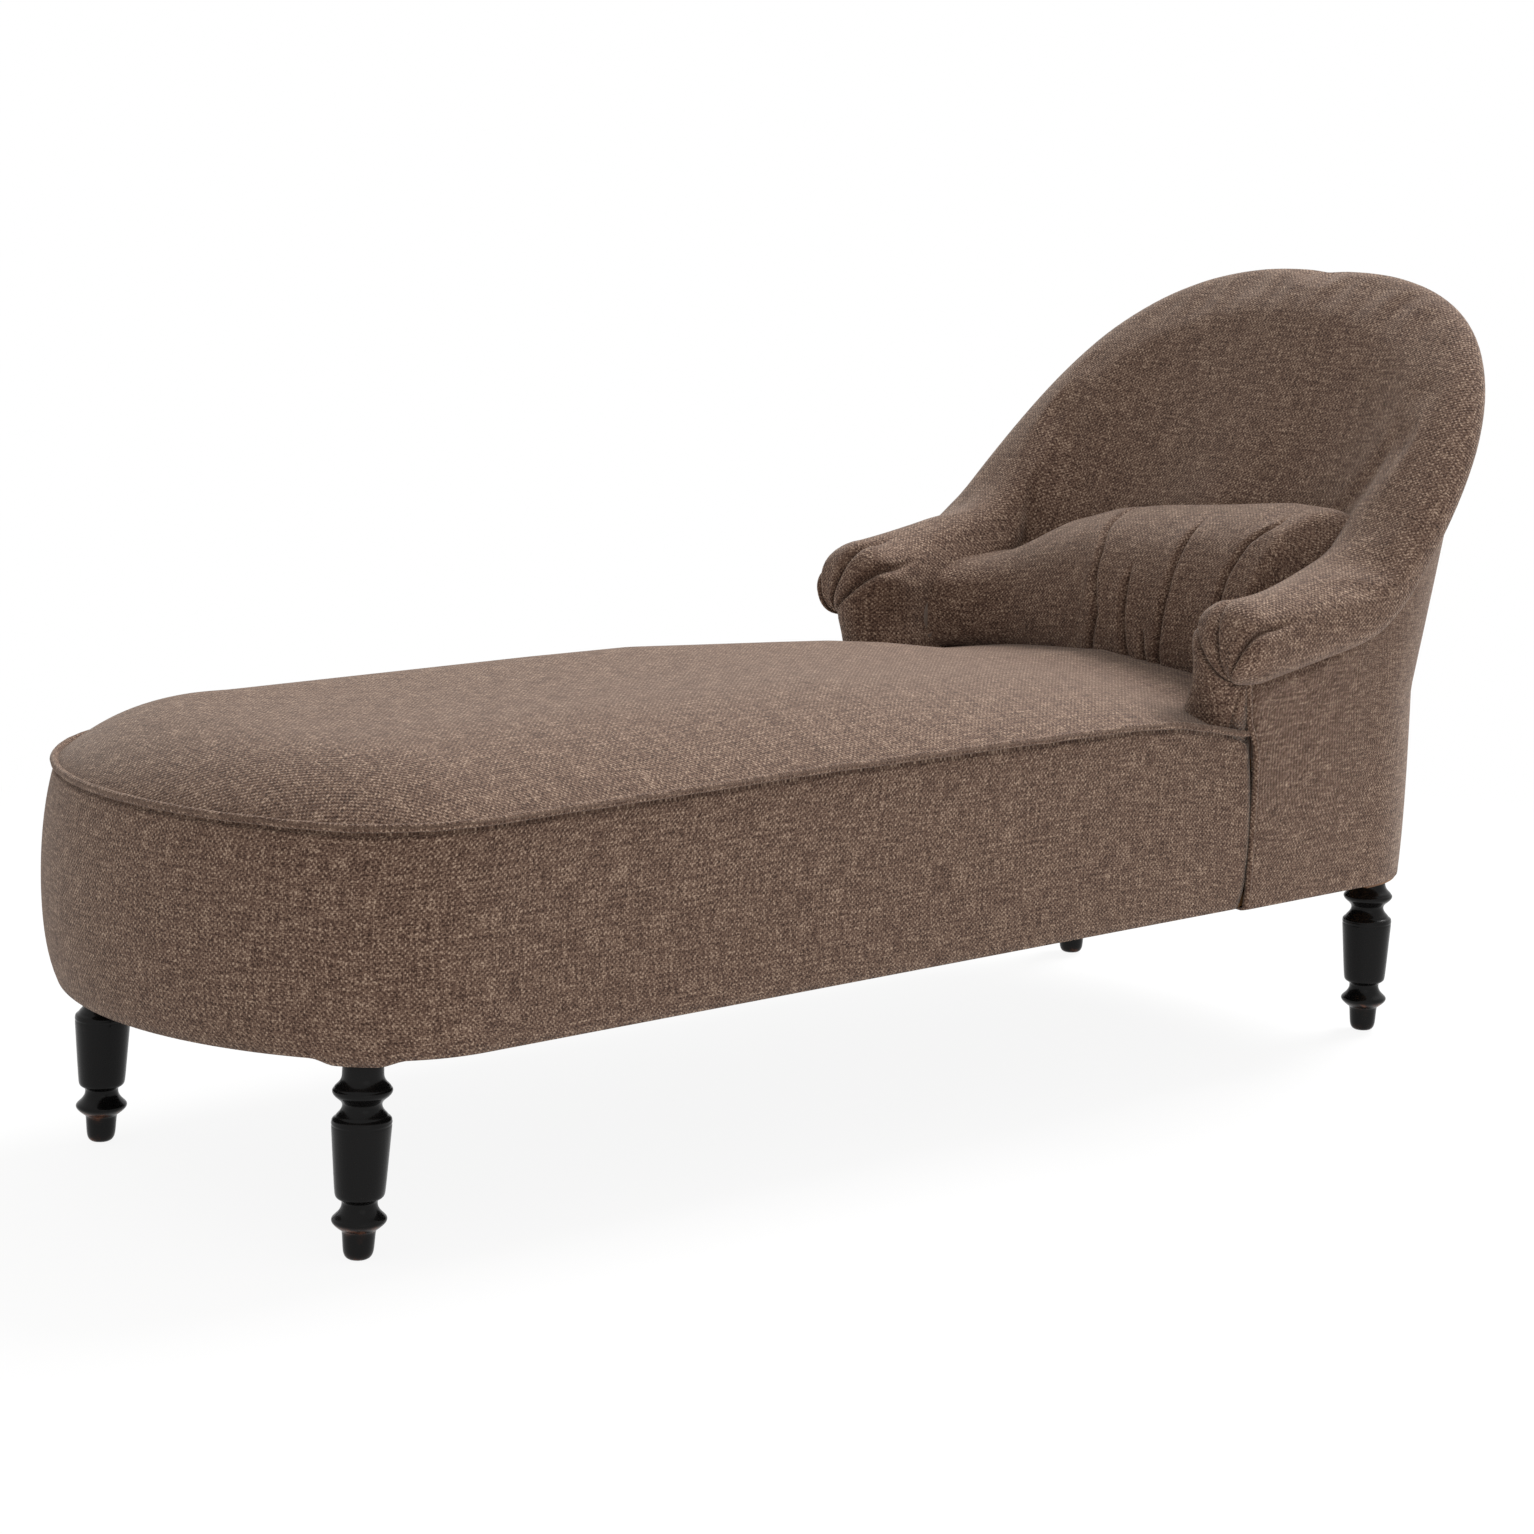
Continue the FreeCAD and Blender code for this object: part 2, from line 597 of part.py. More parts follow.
def coil(x, y):
    wire = size("spring_wire")
    steps = int(size("spring_turns") * PER_TURN)
    rings = []
    for k in range(steps + 1):
        share = k / steps
        angle = 2 * math.pi * k / PER_TURN
        ends = abs(2 * share - 1)
        radius = size("spring_waist") + (size("spring_radius") - size("spring_waist")) * ends ** 1.5
        level = SPRING_Z + wire / 2 + (size("spring_height") - wire) * share
        out = vec(math.cos(angle), math.sin(angle), 0)
        middle = vec(x, y, level) + out * radius
        side = out * (wire / 2)
        up = vec(0, 0, wire / 2)
        rings.append(ring([middle - side - up, middle + side - up, middle + side + up, middle - side + up]))
    return Part.makeLoft(rings, True, True)


one_coil = coil(0, 0)
coils = []
for x in SPRING_X:
    for y in SPRING_Y:
        copy = one_coil.copy()
        copy.translate(vec(x, y, 0))
        coils.append(copy)
deliver("seat_springs", hold("seat_springs", Part.makeCompound(coils)))
pitch = (size("spring_height") - size("spring_wire")) / size("spring_turns")
print("least gap of a coil to itself", pitch - size("spring_wire"))

# Twine over the spring tops, tied down to the rails

RAIL_INNER = size("seat_half_width") - RAIL_INSET - size("rail_thick")


def cord(spots):
    """Six-sided cord through spots that lie in one upright plane."""
    half = size("twine") / 2
    rings = []
    along = (spots[-1] - spots[0]).normalize()
    across = along.cross(vec(0, 0, 1)).normalize()
    for spot in spots:
        corners = []
        for k in range(6):
            angle = math.pi * k / 3
            corners.append(spot + across * (half * math.cos(angle)) + vec(0, 0, half * math.sin(angle)))
        rings.append(ring(corners))
    return Part.makeLoft(rings, True, True)


cords = []
level = SPRING_TOP + size("twine") * 0.433
for y in SPRING_Y:
    start = foot_x(y, RAIL_INSET + size("rail_thick")) + 1
    stop = SPRING_X[-1] + size("spring_radius") + 22
    cords.append(cord([vec(start, y, RAIL_TOP - 14), vec(SPRING_X[0] - size("spring_radius"), y, level),
                       vec(stop - 20, y, level), vec(stop, y, level)]))
deliver("spring_twine_long", hold("spring_twine_long", Part.makeCompound(cords)))
cords = []
level = SPRING_TOP + size("twine") * 1.299
for x in SPRING_X:
    stop = RAIL_INNER - 1
    lean = SPRING_Y[-1] + size("spring_radius")
    cords.append(cord([vec(x, -stop, RAIL_TOP - 14), vec(x, -lean, level),
                       vec(x, lean, level), vec(x, stop, RAIL_TOP - 14)]))
deliver("spring_twine_cross", hold("spring_twine_cross", Part.makeCompound(cords)))

# Hessian over the springs and the stuffing that forms the seat

HESSIAN_Z = SPRING_TOP + size("twine") * 1.732 + 0.1
HOLLOW_END = SPRING_X[-1] + size("spring_radius") + 30
HOLLOW_LOW = RAIL_INSET + size("rail_thick")
HOLLOW_TOP = HOLLOW_LOW + 32
hessian_wire = foot_wire(HOLLOW_TOP + 1, HESSIAN_Z, HOLLOW_END - 1)
deliver("spring_hessian", hold("spring_hessian", Part.Face(hessian_wire).extrude(
    vec(0, 0, size("hessian_thick")))))
hollow = Part.makeLoft([
    foot_wire(HOLLOW_LOW, RAIL_TOP, HOLLOW_END),
    foot_wire(HOLLOW_TOP, HESSIAN_Z, HOLLOW_END),
    foot_wire(HOLLOW_TOP, HESSIAN_Z + size("hessian_thick"), HOLLOW_END)], True, True)
SEAT_END = TUB_X - 2


def crown_wire(inset, rise, sink):
    """Ring of the crown, tilted so that the rise fades towards the back."""
    depth = size("foot_depth") - min(inset, size("foot_depth") * 0.62)
    corner = (size("foot_corner") - 10) * depth / size("foot_depth")
    ring_wire = end_wire(size("seat_half_width") - inset, depth, corner, FOOT_X, SEAT_END, 0, -1)
    fall = size("crown_fall") * rise / (SEAT_END - FOOT_X)
    ring_wire.rotate(vec(FOOT_X, 0, 0), vec(0, 1, 0), math.degrees(math.atan(fall)))
    ring_wire.translate(vec(0, 0, size("border_top") + rise - sink))
    return ring_wire


CROWN_WIDTH = SIDE - size("tuck_top") - size("cover_thick") - GAP - size("crown_level")


def crown_solid(sink):
    """Domed upper part of the seat over its level edge, moved inwards by sink."""
    edge = size("tuck_top") + size("cover_thick") + GAP + sink
    rings = [crown_wire(edge, 0, 0)]
    steps = 8
    for k in range(1, steps + 1):
        share = k / steps
        inset = CROWN_WIDTH * share ** 1.7
        rings.append(crown_wire(edge + inset, size("crown") * (1 - (1 - share) ** 2), sink))
    return Part.makeLoft(rings, True, True)


crown_out = crown_solid(0)
crown_in = crown_solid(size("top_cover_thick"))
crown_fill = crown_solid(size("top_cover_thick") + 2 * GAP)
arm_room = []
for sign in (-1, 1):
    low = ARM_INNER - GAP if sign > 0 else -size("seat_half_width") * 2
    room = Part.makeBox(size("overall_length"), size("seat_half_width") * 2 - ARM_INNER + GAP, size("back_height"))
    room.translate(vec(ARM_X - GAP, low, 0))
    arm_room.append(room)
BORDER_LEVELS = 6


def border_level(k):
    return BORDER_LOW + (size("border_top") - BORDER_LOW) * k / BORDER_LEVELS


side_levels = [RAIL_TOP] + [border_level(k) for k in range(BORDER_LEVELS + 1) if border_level(k) > RAIL_TOP + 1]
side_rings = [foot_wire(border_inset(z) + size("cover_thick") + GAP * 2, z, SEAT_END) for z in side_levels]
seat_block = Part.makeLoft(side_rings, True, True)
stuffing = seat_block.fuse(crown_fill).cut(hollow).cut(arm_room[0]).cut(arm_room[1])
deliver("seat_stuffing", hold("seat_stuffing", stuffing))
cover = crown_out.cut(arm_room[0]).cut(arm_room[1]).cut(crown_in)
deliver("seat_top_cover", hold("seat_top_cover", cover))

# Border cover round the seat, its piping and the piped front seams

border_rings = []
inner_rings = []
for k in range(BORDER_LEVELS + 1):
    z = border_level(k)
    border_rings.append(foot_wire(border_inset(z), z, SEAM_X - size("welt_radius")))
    inner_rings.append(foot_wire(border_inset(z) + size("cover_thick"), z, SEAM_X))
border = Part.makeLoft(border_rings, True, True).cut(Part.makeLoft(inner_rings, True, True))
deliver("seat_border", hold("seat_border", border))
welt_z = size("border_top") + size("welt_radius")
welt_inset = size("tuck_top") + size("welt_radius") * 0.35
path = Part.Wire(foot_wire(welt_inset, welt_z, ARM_X + 4).Edges[0:5])
start = path.Edges[0].Vertexes[0].Point
disc = []
for k in range(8):
    angle = math.pi * (k + 0.5) / 4
    disc.append(start + vec(0, math.cos(angle), math.sin(angle)) * size("welt_radius"))
deliver("seat_welt", hold("seat_welt", path.makePipeShell([ring(disc)], True, False)))
for side, sign in (("left", 1), ("right", -1)):
    piping = doc.addObject("Part::Cylinder", "seam_piping_" + side)
    bind(piping, Radius="sheet.welt_radius - sheet.fit_gap", Height="sheet.border_top - %s + sheet.border_lap" % RAIL_LOW_EXPR)
    place(piping, TUB_EXPR + " - sheet.arm_length + sheet.panel_seam",
          "%d * (sheet.seat_half_width - sheet.wall_in - sheet.cover_thick / 2)" % sign, RAIL_LOW_EXPR + " - sheet.border_lap")
    deliver("seam_piping_" + side, piping)

# Arm frames, arm pads and the tub back


ROLL_STEPS = 8


def arm_seam(x):
    return size("seam_low") - size("seam_fall") * (TUB_X - x) / size("arm_length")


def arm_frame_in():
    return WALL_HALF - size("cover_thick") - GAP - size("frame_depth")


def arm_section(x, sign):
    """Closed outline of the arm pad across the arm at x."""
    share = (TUB_X - x) / size("arm_length")
    end_reach, end_height = rim(math.pi / 2)
    reach = end_reach + ((SIDE - size("arm_front_in")) - end_reach) * share
    height = end_height + (size("arm_front_height") - end_height) * share
    out = size("roll_out") + (size("arm_roll_out") - size("roll_out")) * share
    tall_end = size("roll_thick") / math.cos(RAKE)
    tall = tall_end + (size("arm_roll_up") - tall_end) * share
    seam = arm_seam(x)
    frame = arm_frame_in() - GAP

    def on_roll(degrees):
        angle = math.radians(degrees)
        return reach + out * math.cos(angle), height + tall * math.sin(angle)

    return pad_wire(lambda r, z: vec(x, sign * r, z), (ARM_INNER, size("pad_bottom")),
                    (ARM_INNER + 3, height - tall * 0.8), on_roll,
                    [(WALL_HALF - 1, seam + GAP), (frame, seam + GAP)], (frame, size("pad_bottom")))


def pad_wire(spot, low, fold, on_roll, shelf, foot):
    """Pad outline: up the inside, over the roll, in along the shelf and down the frame."""
    inner = on_roll(158)
    middle = ((fold[0] + inner[0]) / 2 - 3, (fold[1] + inner[1]) / 2 + 1)
    over = [on_roll(158 - 166 * k / ROLL_STEPS) for k in range(ROLL_STEPS + 1)]
    line = [low, fold, middle] + over + [on_roll(-42)] + shelf + [foot]
    return ring([spot(*place) for place in line])


CREST_INSET = size("cover_thick") + 4 * size("cover_gap")


def inner_reach(turn):
    """Distance from the tub axis to the inside of the back behind the lumbar roll."""
    power = 2.4
    along = abs(math.cos(turn)) / size("pad_depth_back")
    across = abs(math.sin(turn)) / ARM_INNER
    return (along ** power + across ** power) ** (-1 / power)


def back_section(turn):
    """Closed outline of the back pad in the upright plane at turn."""
    seam = seam_height(turn)
    lean = math.cos(turn)
    low_r = inner_reach(turn)
    side_z = RIM_LOW - 0.8 * size("roll_thick") / math.cos(RAKE)
    fold_z = side_z + (size("lumbar_top") - 21 - side_z) * lean * lean
    room = size("pad_room")
    level = seam + size("cover_gap")
    shelf = [(reach, level) for reach in (
        wall_reach(turn, seam, 1), wall_reach(turn, seam, CREST_INSET), frame_line(turn, seam),
        frame_line(turn, seam) - room)]

    def on_roll(degrees):
        return roll_point(turn, math.radians(degrees))

    return pad_wire(lambda r, z: at_turn(turn, r, z), (low_r, size("pad_bottom")),
                    (low_r + 3 + 9 * lean, fold_z), on_roll,
                    shelf,
                    (frame_line(turn, size("pad_bottom")) - room, size("pad_bottom")))


STATIONS = 25
STEP = 180 / (STATIONS - 1)
sections = [back_section(turn) for turn in tub_turns(STATIONS, 90)]
deliver("back_pad", hold("back_pad", Part.makeLoft(sections, True, True)))


def crest_corners(turn):
    high = seam_height(turn)
    low = high - size("frame_tall")
    return [(frame_line(turn, low), low), (wall_reach(turn, low, CREST_INSET), low),
            (wall_reach(turn, high, CREST_INSET), high), (frame_line(turn, high), high)]


deliver("crest_rail", hold("crest_rail", bent_rail(tub_turns(STATIONS, 90), crest_corners)))

# Back posts stand on the head blocks at the station over the leg; the stay rail joins them

LEG_TURN = math.degrees(math.atan2(HEAD_LEG_Y, size("head_leg_back")))
POST_LOW = STEP * math.floor(LEG_TURN / STEP)


def stay_corners(turn):
    low = size("stay_height")
    high = low + size("stay_tall")
    return [(frame_line(turn, low), low), (frame_line(turn, low) + size("stay_depth"), low),
            (frame_line(turn, high) + size("stay_depth"), high), (frame_line(turn, high), high)]


def post_corners(turn):
    low = RAIL_TOP
    high = seam_height(turn) - size("frame_tall") - 2 * GAP
    return [(frame_line(turn, low), low), (frame_line(turn, low) + size("post_depth"), low),
            (frame_line(turn, high) + size("post_depth"), high), (frame_line(turn, high), high)]


stay_turns = tub_turns(int(round(2 * POST_LOW / STEP)) + 1, POST_LOW)
deliver("stay_rail", hold("stay_rail", bent_rail(stay_turns, stay_corners)))
for side, sign in (("left", 1), ("right", -1)):
    post_turns = [math.radians(sign * POST_LOW), math.radians(sign * (POST_LOW + STEP))]
    deliver("back_post_" + side, hold("back_post_" + side, bent_rail(post_turns, post_corners)))

for side, sign in (("left", 1), ("right", -1)):
    rings = [arm_section(x, sign) for x in (ARM_X, (ARM_X + TUB_X) / 2, TUB_X)]
    deliver("arm_pad_" + side, hold("arm_pad_" + side, Part.makeLoft(rings, True, True)))
    frame_in, frame_out = arm_frame_in(), WALL_HALF - size("cover_thick") - GAP
    front = SEAM_X + size("welt_radius")
    rings = []
    for x in (front, TUB_X):
        high = arm_seam(x)
        low = high - size("frame_tall")
        rings.append(ring([vec(x, sign * frame_in, low), vec(x, sign * frame_out, low),
                           vec(x, sign * frame_out, high), vec(x, sign * frame_in, high)]))
    deliver("arm_rail_" + side, hold("arm_rail_" + side, Part.makeLoft(rings, True, True)))
    stump_back = front + size("frame_depth") * 1.3
    corners = [vec(front, sign * frame_in, RAIL_TOP), vec(stump_back, sign * frame_in, RAIL_TOP),
               vec(stump_back, sign * frame_in, arm_seam(stump_back) - size("frame_tall")),
               vec(front, sign * frame_in, arm_seam(front) - size("frame_tall"))]
    stump = Part.Face(ring(corners)).extrude(vec(0, sign * (frame_out - frame_in), 0))
    deliver("arm_stump_" + side, hold("arm_stump_" + side, stump))

# Lumbar roll in front of the back pad, resting on the seat


def seat_top(x):
    share = (x - FOOT_X) / (SEAT_END - FOOT_X)
    return size("border_top") + size("crown") * (1 - size("crown_fall") * share)


def pleat(y):
    """Depth of the sewn pleats that run up the lumbar roll."""
    depth = 0
    for k in range(3):
        away = (y - size("pleat_first") - k * size("pleat_step")) / size("pleat_width")
        depth += size("pleat_depth") * math.exp(-away * away)
    return depth


def lumbar_section(y):
    """Upright slice along the seat of the lumbar roll."""
    share = abs(y) / ARM_INNER
    fall = share ** 2.2
    back = TUB_X + size("pad_depth_back") * (1 - share ** 2.4) ** (1 / 2.4) - 4
    front = TUB_X - size("lumbar_front") + pleat(y)
    top = size("lumbar_top") - (size("lumbar_top") - size("lumbar_side")) * fall
    low = seat_top(TUB_X - size("lumbar_front")) + GAP
    knee = (front + 16, low + (top - low) * 0.62)

    swell = [(front + 12, low), (front + 2, low + (top - low) * 0.14), (front, low + (top - low) * 0.32),
             (front + 4, low + (top - low) * 0.48), knee, (front + 34, top - (top - low) * 0.24),
             (back - 30, top - (top - low) * 0.06), (back - 6, top)]
    line = [(back, low)] + swell + [(back, top - 14)]
    return ring([vec(x, y, z) for x, z in line])


LUMBAR_HALF = ARM_INNER - 10
slices = [lumbar_section(LUMBAR_HALF * (k / 14 - 1)) for k in range(29)]
deliver("lumbar_pad", hold("lumbar_pad", Part.makeLoft(slices, True, True)))

# Outside cover round the back and arms

COVER_LEVELS = 3
levels = [BORDER_LOW] + [
    size("wall_straight") + (size("back_height") - size("wall_straight")) * k / COVER_LEVELS
    for k in range(COVER_LEVELS + 1)]
outer = Part.makeLoft([wall_wire(z, 0, SEAM_X + size("welt_radius")) for z in levels], True, True)
inner = Part.makeLoft([wall_wire(z, size("cover_thick"), ARM_X) for z in levels], True, True)
far = TUB_X + wall_reach(0, SEAM_TOP, 0)
climb = (SEAM_TOP - size("seam_low")) / (far - TUB_X)
past = size("wall_depth")
high = size("back_height") * 2
trim = ring([vec(ARM_X - past, -SIDE * 2, arm_seam(ARM_X - past)), vec(TUB_X, -SIDE * 2, size("seam_low")),
             vec(far + past, -SIDE * 2, SEAM_TOP + climb * past), vec(far + past, -SIDE * 2, high),
             vec(ARM_X - past, -SIDE * 2, high)])
trim_solid = Part.Face(trim).extrude(vec(0, SIDE * 4, 0))
deliver("outside_cover", hold("outside_cover", outer.cut(inner).cut(trim_solid)))

# Dust cloth under the webbing

cloth_z = WEB_Z - size("web_thick") - 1.2
foot_part = Part.Face(foot_wire(RAIL_INSET + 8, cloth_z, TUB_X)).extrude(vec(0, 0, 1))
head_part = Part.Face(wall_wire(cloth_z, wall_inset + 8, TUB_X)).extrude(vec(0, 0, 1))
cloth = foot_part.fuse(head_part).removeSplitter()
for sign in (-1, 1):
    low = BLOCK_INNER - 2 if sign > 0 else -size("seat_half_width") - 10
    notch = Part.makeBox(size("block_depth") + 60, size("seat_half_width") - BLOCK_INNER + 12, 40)
    notch.translate(vec(WALL_X - 2, low, cloth_z - 20))
    cloth = cloth.cut(notch)
    reach = math.tan(math.radians(size("foot_leg_rake"))) * size("leg_height")
    disc = Part.makeCylinder(size("leg_bead") + 16, 40)
    disc.translate(vec(FOOT_X - size("foot_leg_out") + reach, sign * FOOT_LEG_Y, cloth_z - 20))
    cloth = cloth.cut(disc)
deliver("dust_cloth", hold("dust_cloth", cloth))

doc.recompute()
for node, item in finished:
    shape = item.Shape
    if "Invalid" in item.State or "Error" in item.State or shape.isNull() or not shape.isValid():
        raise ValueError("the piece %s failed" % node)
os.makedirs("parts", exist_ok=True)
for node, item in finished:
    item.Shape.exportStep("parts/%s.step" % node)
    print(node, round(item.Shape.Volume), len(item.Shape.Solids))
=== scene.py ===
import math

import bmesh
import bpy
import numpy as np
from mathutils import Matrix, Vector
from mathutils.bvhtree import BVHTree


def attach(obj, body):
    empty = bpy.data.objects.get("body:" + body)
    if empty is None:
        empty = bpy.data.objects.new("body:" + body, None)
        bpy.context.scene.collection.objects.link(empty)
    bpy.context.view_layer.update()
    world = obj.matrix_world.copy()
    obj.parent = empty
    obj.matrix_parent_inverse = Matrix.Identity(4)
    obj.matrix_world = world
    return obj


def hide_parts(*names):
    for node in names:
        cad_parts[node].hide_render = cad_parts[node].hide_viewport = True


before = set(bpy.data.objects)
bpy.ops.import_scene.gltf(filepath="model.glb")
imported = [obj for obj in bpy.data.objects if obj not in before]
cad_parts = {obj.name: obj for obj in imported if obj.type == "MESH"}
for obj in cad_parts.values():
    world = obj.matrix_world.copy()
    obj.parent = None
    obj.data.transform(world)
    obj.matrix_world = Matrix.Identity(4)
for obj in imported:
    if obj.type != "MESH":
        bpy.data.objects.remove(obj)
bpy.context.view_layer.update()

# Sizes in millimetres, in the frame of the solids: +X to the back, +Z up
FOOT_X = -595.0      # start of the rounded foot end
TUB_X = 519.0        # upright axis of the tub back
ARM_X = 327.0        # front of the arms
SEAM_X = 359.0       # piped upright seam behind the arm front
WALL_X = 554.0       # start of the rear corners
SIDE = 308.0         # half width of the seat border at its fullest
FOOT_DEPTH = 213.0   # length of the rounded foot end
FOOT_CORNER = 158.0  # radius of its corners
WELT_R = 3.9         # radius of the piping
BOTTOM = 186.0       # lower edge of the covers

RIM_RUN = 246.2      # reach of the rim line backward from the tub axis
RIM_HALF = 297.0     # half width of the rim line
RIM_POWER = 2.9      # how square the rim line is; 2 is an ellipse
RIM_LOW = 495.1      # height of the rim line at the tub axis
RAKE = math.radians(48.7)  # rise of the rim line towards the back
ROLL_OUT = 58.0      # half width of the roll on the rim
ROLL_THICK = 24.5    # half thickness of the roll on the rim
SEAM_LOW = 460.0     # height of the seam under the roll at the tub axis
SEAM_TOP = 758.0     # height of the seam under the roll at the back
SEAM_FALL = 42.0     # how far that seam falls along the arms
WALL_HALF = 305.0    # half width, depth and corner radius of the outside cover at the seat
WALL_DEPTH = 145.0
WALL_CORNER = 130.0
WALL_LEAN_Z = 390.0  # height from which the outside cover leans out
INNER_HALF = 226.0   # half width of the seat between the arms
ARM_LENGTH = TUB_X - ARM_X
MM = 0.001           # metres in a millimetre


def lerp(a, b, t):
    return a + (b - a) * t


def ease(t):
    """Smooth step from 0 to 1."""
    t = np.clip(t, 0.0, 1.0)
    return t * t * (3 - 2 * t)


def bump(t):
    """Bell curve of height 1."""
    return np.exp(-np.square(t))


def spline(points, count):
    """Even points along a smooth curve through the given ones."""
    p = np.asarray(points, float)
    ends = np.vstack([2 * p[0] - p[1], p, 2 * p[-1] - p[-2]])
    t = np.linspace(0, 1, 24, endpoint=False)[:, None]
    fine = []
    for k in range(len(p) - 1):
        a, b, c, d = ends[k:k + 4]
        cubic = 3 * b - a - 3 * c + d
        fine.append(b + 0.5 * t * (c - a + t * (2 * a - 5 * b + 4 * c - d + t * cubic)))
    return even(np.vstack(fine + [p[-1:]]), count)


def even(line, count):
    """Points at even steps along a line of points."""
    run = np.concatenate([[0], np.cumsum(np.linalg.norm(np.diff(line, axis=0), axis=1))])
    want = np.linspace(0, run[-1], count)
    return np.stack([np.interp(want, run, line[:, k]) for k in range(line.shape[1])], axis=1)


# Outlines seen from above


def end_arcs(half, depth, corner):
    """Offset, radius and half angle of the wide arc of a round end."""
    offset = ((half - corner) ** 2 - (depth - corner) ** 2) / (2 * (depth - corner))
    return offset, depth + offset, math.atan2(half - corner, offset)


def end_line(half, depth, corner, start, way, count):
    """Round end from the left side to the right side as points."""
    offset, wide, turn = end_arcs(half, depth, corner)
    sweep = math.pi / 2 - turn
    points = []
    for a in np.linspace(0, sweep, 40):
        points.append((start + way * corner * math.sin(a), half - corner + corner * math.cos(a)))
    for a in np.linspace(turn, -turn, 80)[1:-1]:
        points.append((start + way * (wide * math.cos(a) - offset), wide * math.sin(a)))
    for a in np.linspace(sweep, 0, 40):
        points.append((start + way * corner * math.sin(a), -(half - corner + corner * math.cos(a))))
    return even(np.array(points), count)


def foot_line(inset, count):
    """Outline of the foot end, moved in by an inset."""
    return end_line(SIDE - inset, FOOT_DEPTH - inset, FOOT_CORNER - inset, FOOT_X, -1, count)


def wall_outline(z):
    """Half width, start of the corners, depth and corner radius of the outside cover at a height."""
    lean = np.maximum(0.0, (z - WALL_LEAN_Z) / (SEAM_TOP - WALL_LEAN_Z))
    return WALL_HALF + 20 * lean, WALL_X + 75 * lean, WALL_DEPTH + 8 * lean, WALL_CORNER


def wall_reach(turn, z):
    """Distance from the tub axis to the outside cover in one direction."""
    half, start, depth, corner = wall_outline(z)
    offset, wide, limit = end_arcs(half, depth, corner)
    across, along = abs(math.sin(turn)), math.cos(turn)
    middle = start - offset - TUB_X
    if along > 1e-6:
        reach = middle * along + math.sqrt(max(0.0, wide * wide - (middle * across) ** 2))
        if reach * across <= wide * math.sin(limit):
            return reach
    lead, side = start - TUB_X, half - corner
    dot = lead * along + side * across
    root = dot * dot - lead * lead - side * side + corner * corner
    if root > 0:
        reach = dot + math.sqrt(root)
        if reach * along >= lead:
            return reach
    return half / across


def seam_height(turn):
    """Height of the seam under the roll in one direction from the tub axis."""
    end = wall_reach(0, SEAM_TOP)
    height = SEAM_LOW
    for step in range(12):
        height = SEAM_LOW + (SEAM_TOP - SEAM_LOW) * wall_reach(turn, height) * math.cos(turn) / end
    return height


def arm_seam(x):
    """Height of the seam under the roll of an arm."""
    return SEAM_LOW - SEAM_FALL * (TUB_X - x) / ARM_LENGTH


def rim(turn):
    """Reach and height of the rim line in one direction from the tub axis."""
    along, across = abs(math.cos(turn)) / RIM_RUN, abs(math.sin(turn)) / RIM_HALF
    reach = (along ** RIM_POWER + across ** RIM_POWER) ** (-1 / RIM_POWER)
    return reach, RIM_LOW + reach * math.cos(turn) * math.tan(RAKE)


# Meshes


def new_object(name, data):
    item = bpy.data.objects.new(name, data)
    bpy.context.scene.collection.objects.link(item)
    return item


def grid_faces(rows, cols):
    """Corner numbers of the faces of a grid whose points are numbered row by row."""
    index = np.arange(rows * cols).reshape(rows, cols)
    corners = [index[:-1, :-1], index[1:, :-1], index[1:, 1:], index[:-1, 1:]]
    return np.stack(corners, axis=-1).reshape(-1, 4).tolist()


def finish_mesh(name, bm, toward):
    """Turn a bmesh into a smooth object whose outermost face in one direction looks that way."""
    mesh = bpy.data.meshes.new(name)
    bm.normal_update()
    axis = Vector(toward)
    far = max(bm.faces, key=lambda face: face.calc_center_median().dot(axis))
    if far.normal.dot(axis) < 0:
        bmesh.ops.reverse_faces(bm, faces=bm.faces)
    bm.to_mesh(mesh)
    bm.free()
    for poly in mesh.polygons:
        poly.use_smooth = True
    return new_object(name, mesh)


COS, SIN = math.cos(RAKE), math.sin(RAKE)
CLOTH_PLANES = [  # facing, direction across the cloth, direction up the cloth
    (Vector((-SIN, 0, COS)), Vector((0, 1, 0)), Vector((COS, 0, SIN))),
    (Vector((0, 1, 0)), Vector((1, 0, 0)), Vector((0, 0, 1))),
    (Vector((0, 0, 1)), Vector((1, 0, 0)), Vector((0, 1, 0))),
    (Vector((1, 0, 0)), Vector((0, 1, 0)), Vector((0, 0, 1)))]


def lay_cloth(bm, layer):
    """Give each face the thread directions of the plane that it lies nearest to."""
    bm.normal_update()
    for face in bm.faces:
        plane = max(CLOTH_PLANES, key=lambda item: abs(face.normal.dot(item[0])))
        for loop in face.loops:
            loop[layer].uv = (loop.vert.co.dot(plane[1]), loop.vert.co.dot(plane[2]))


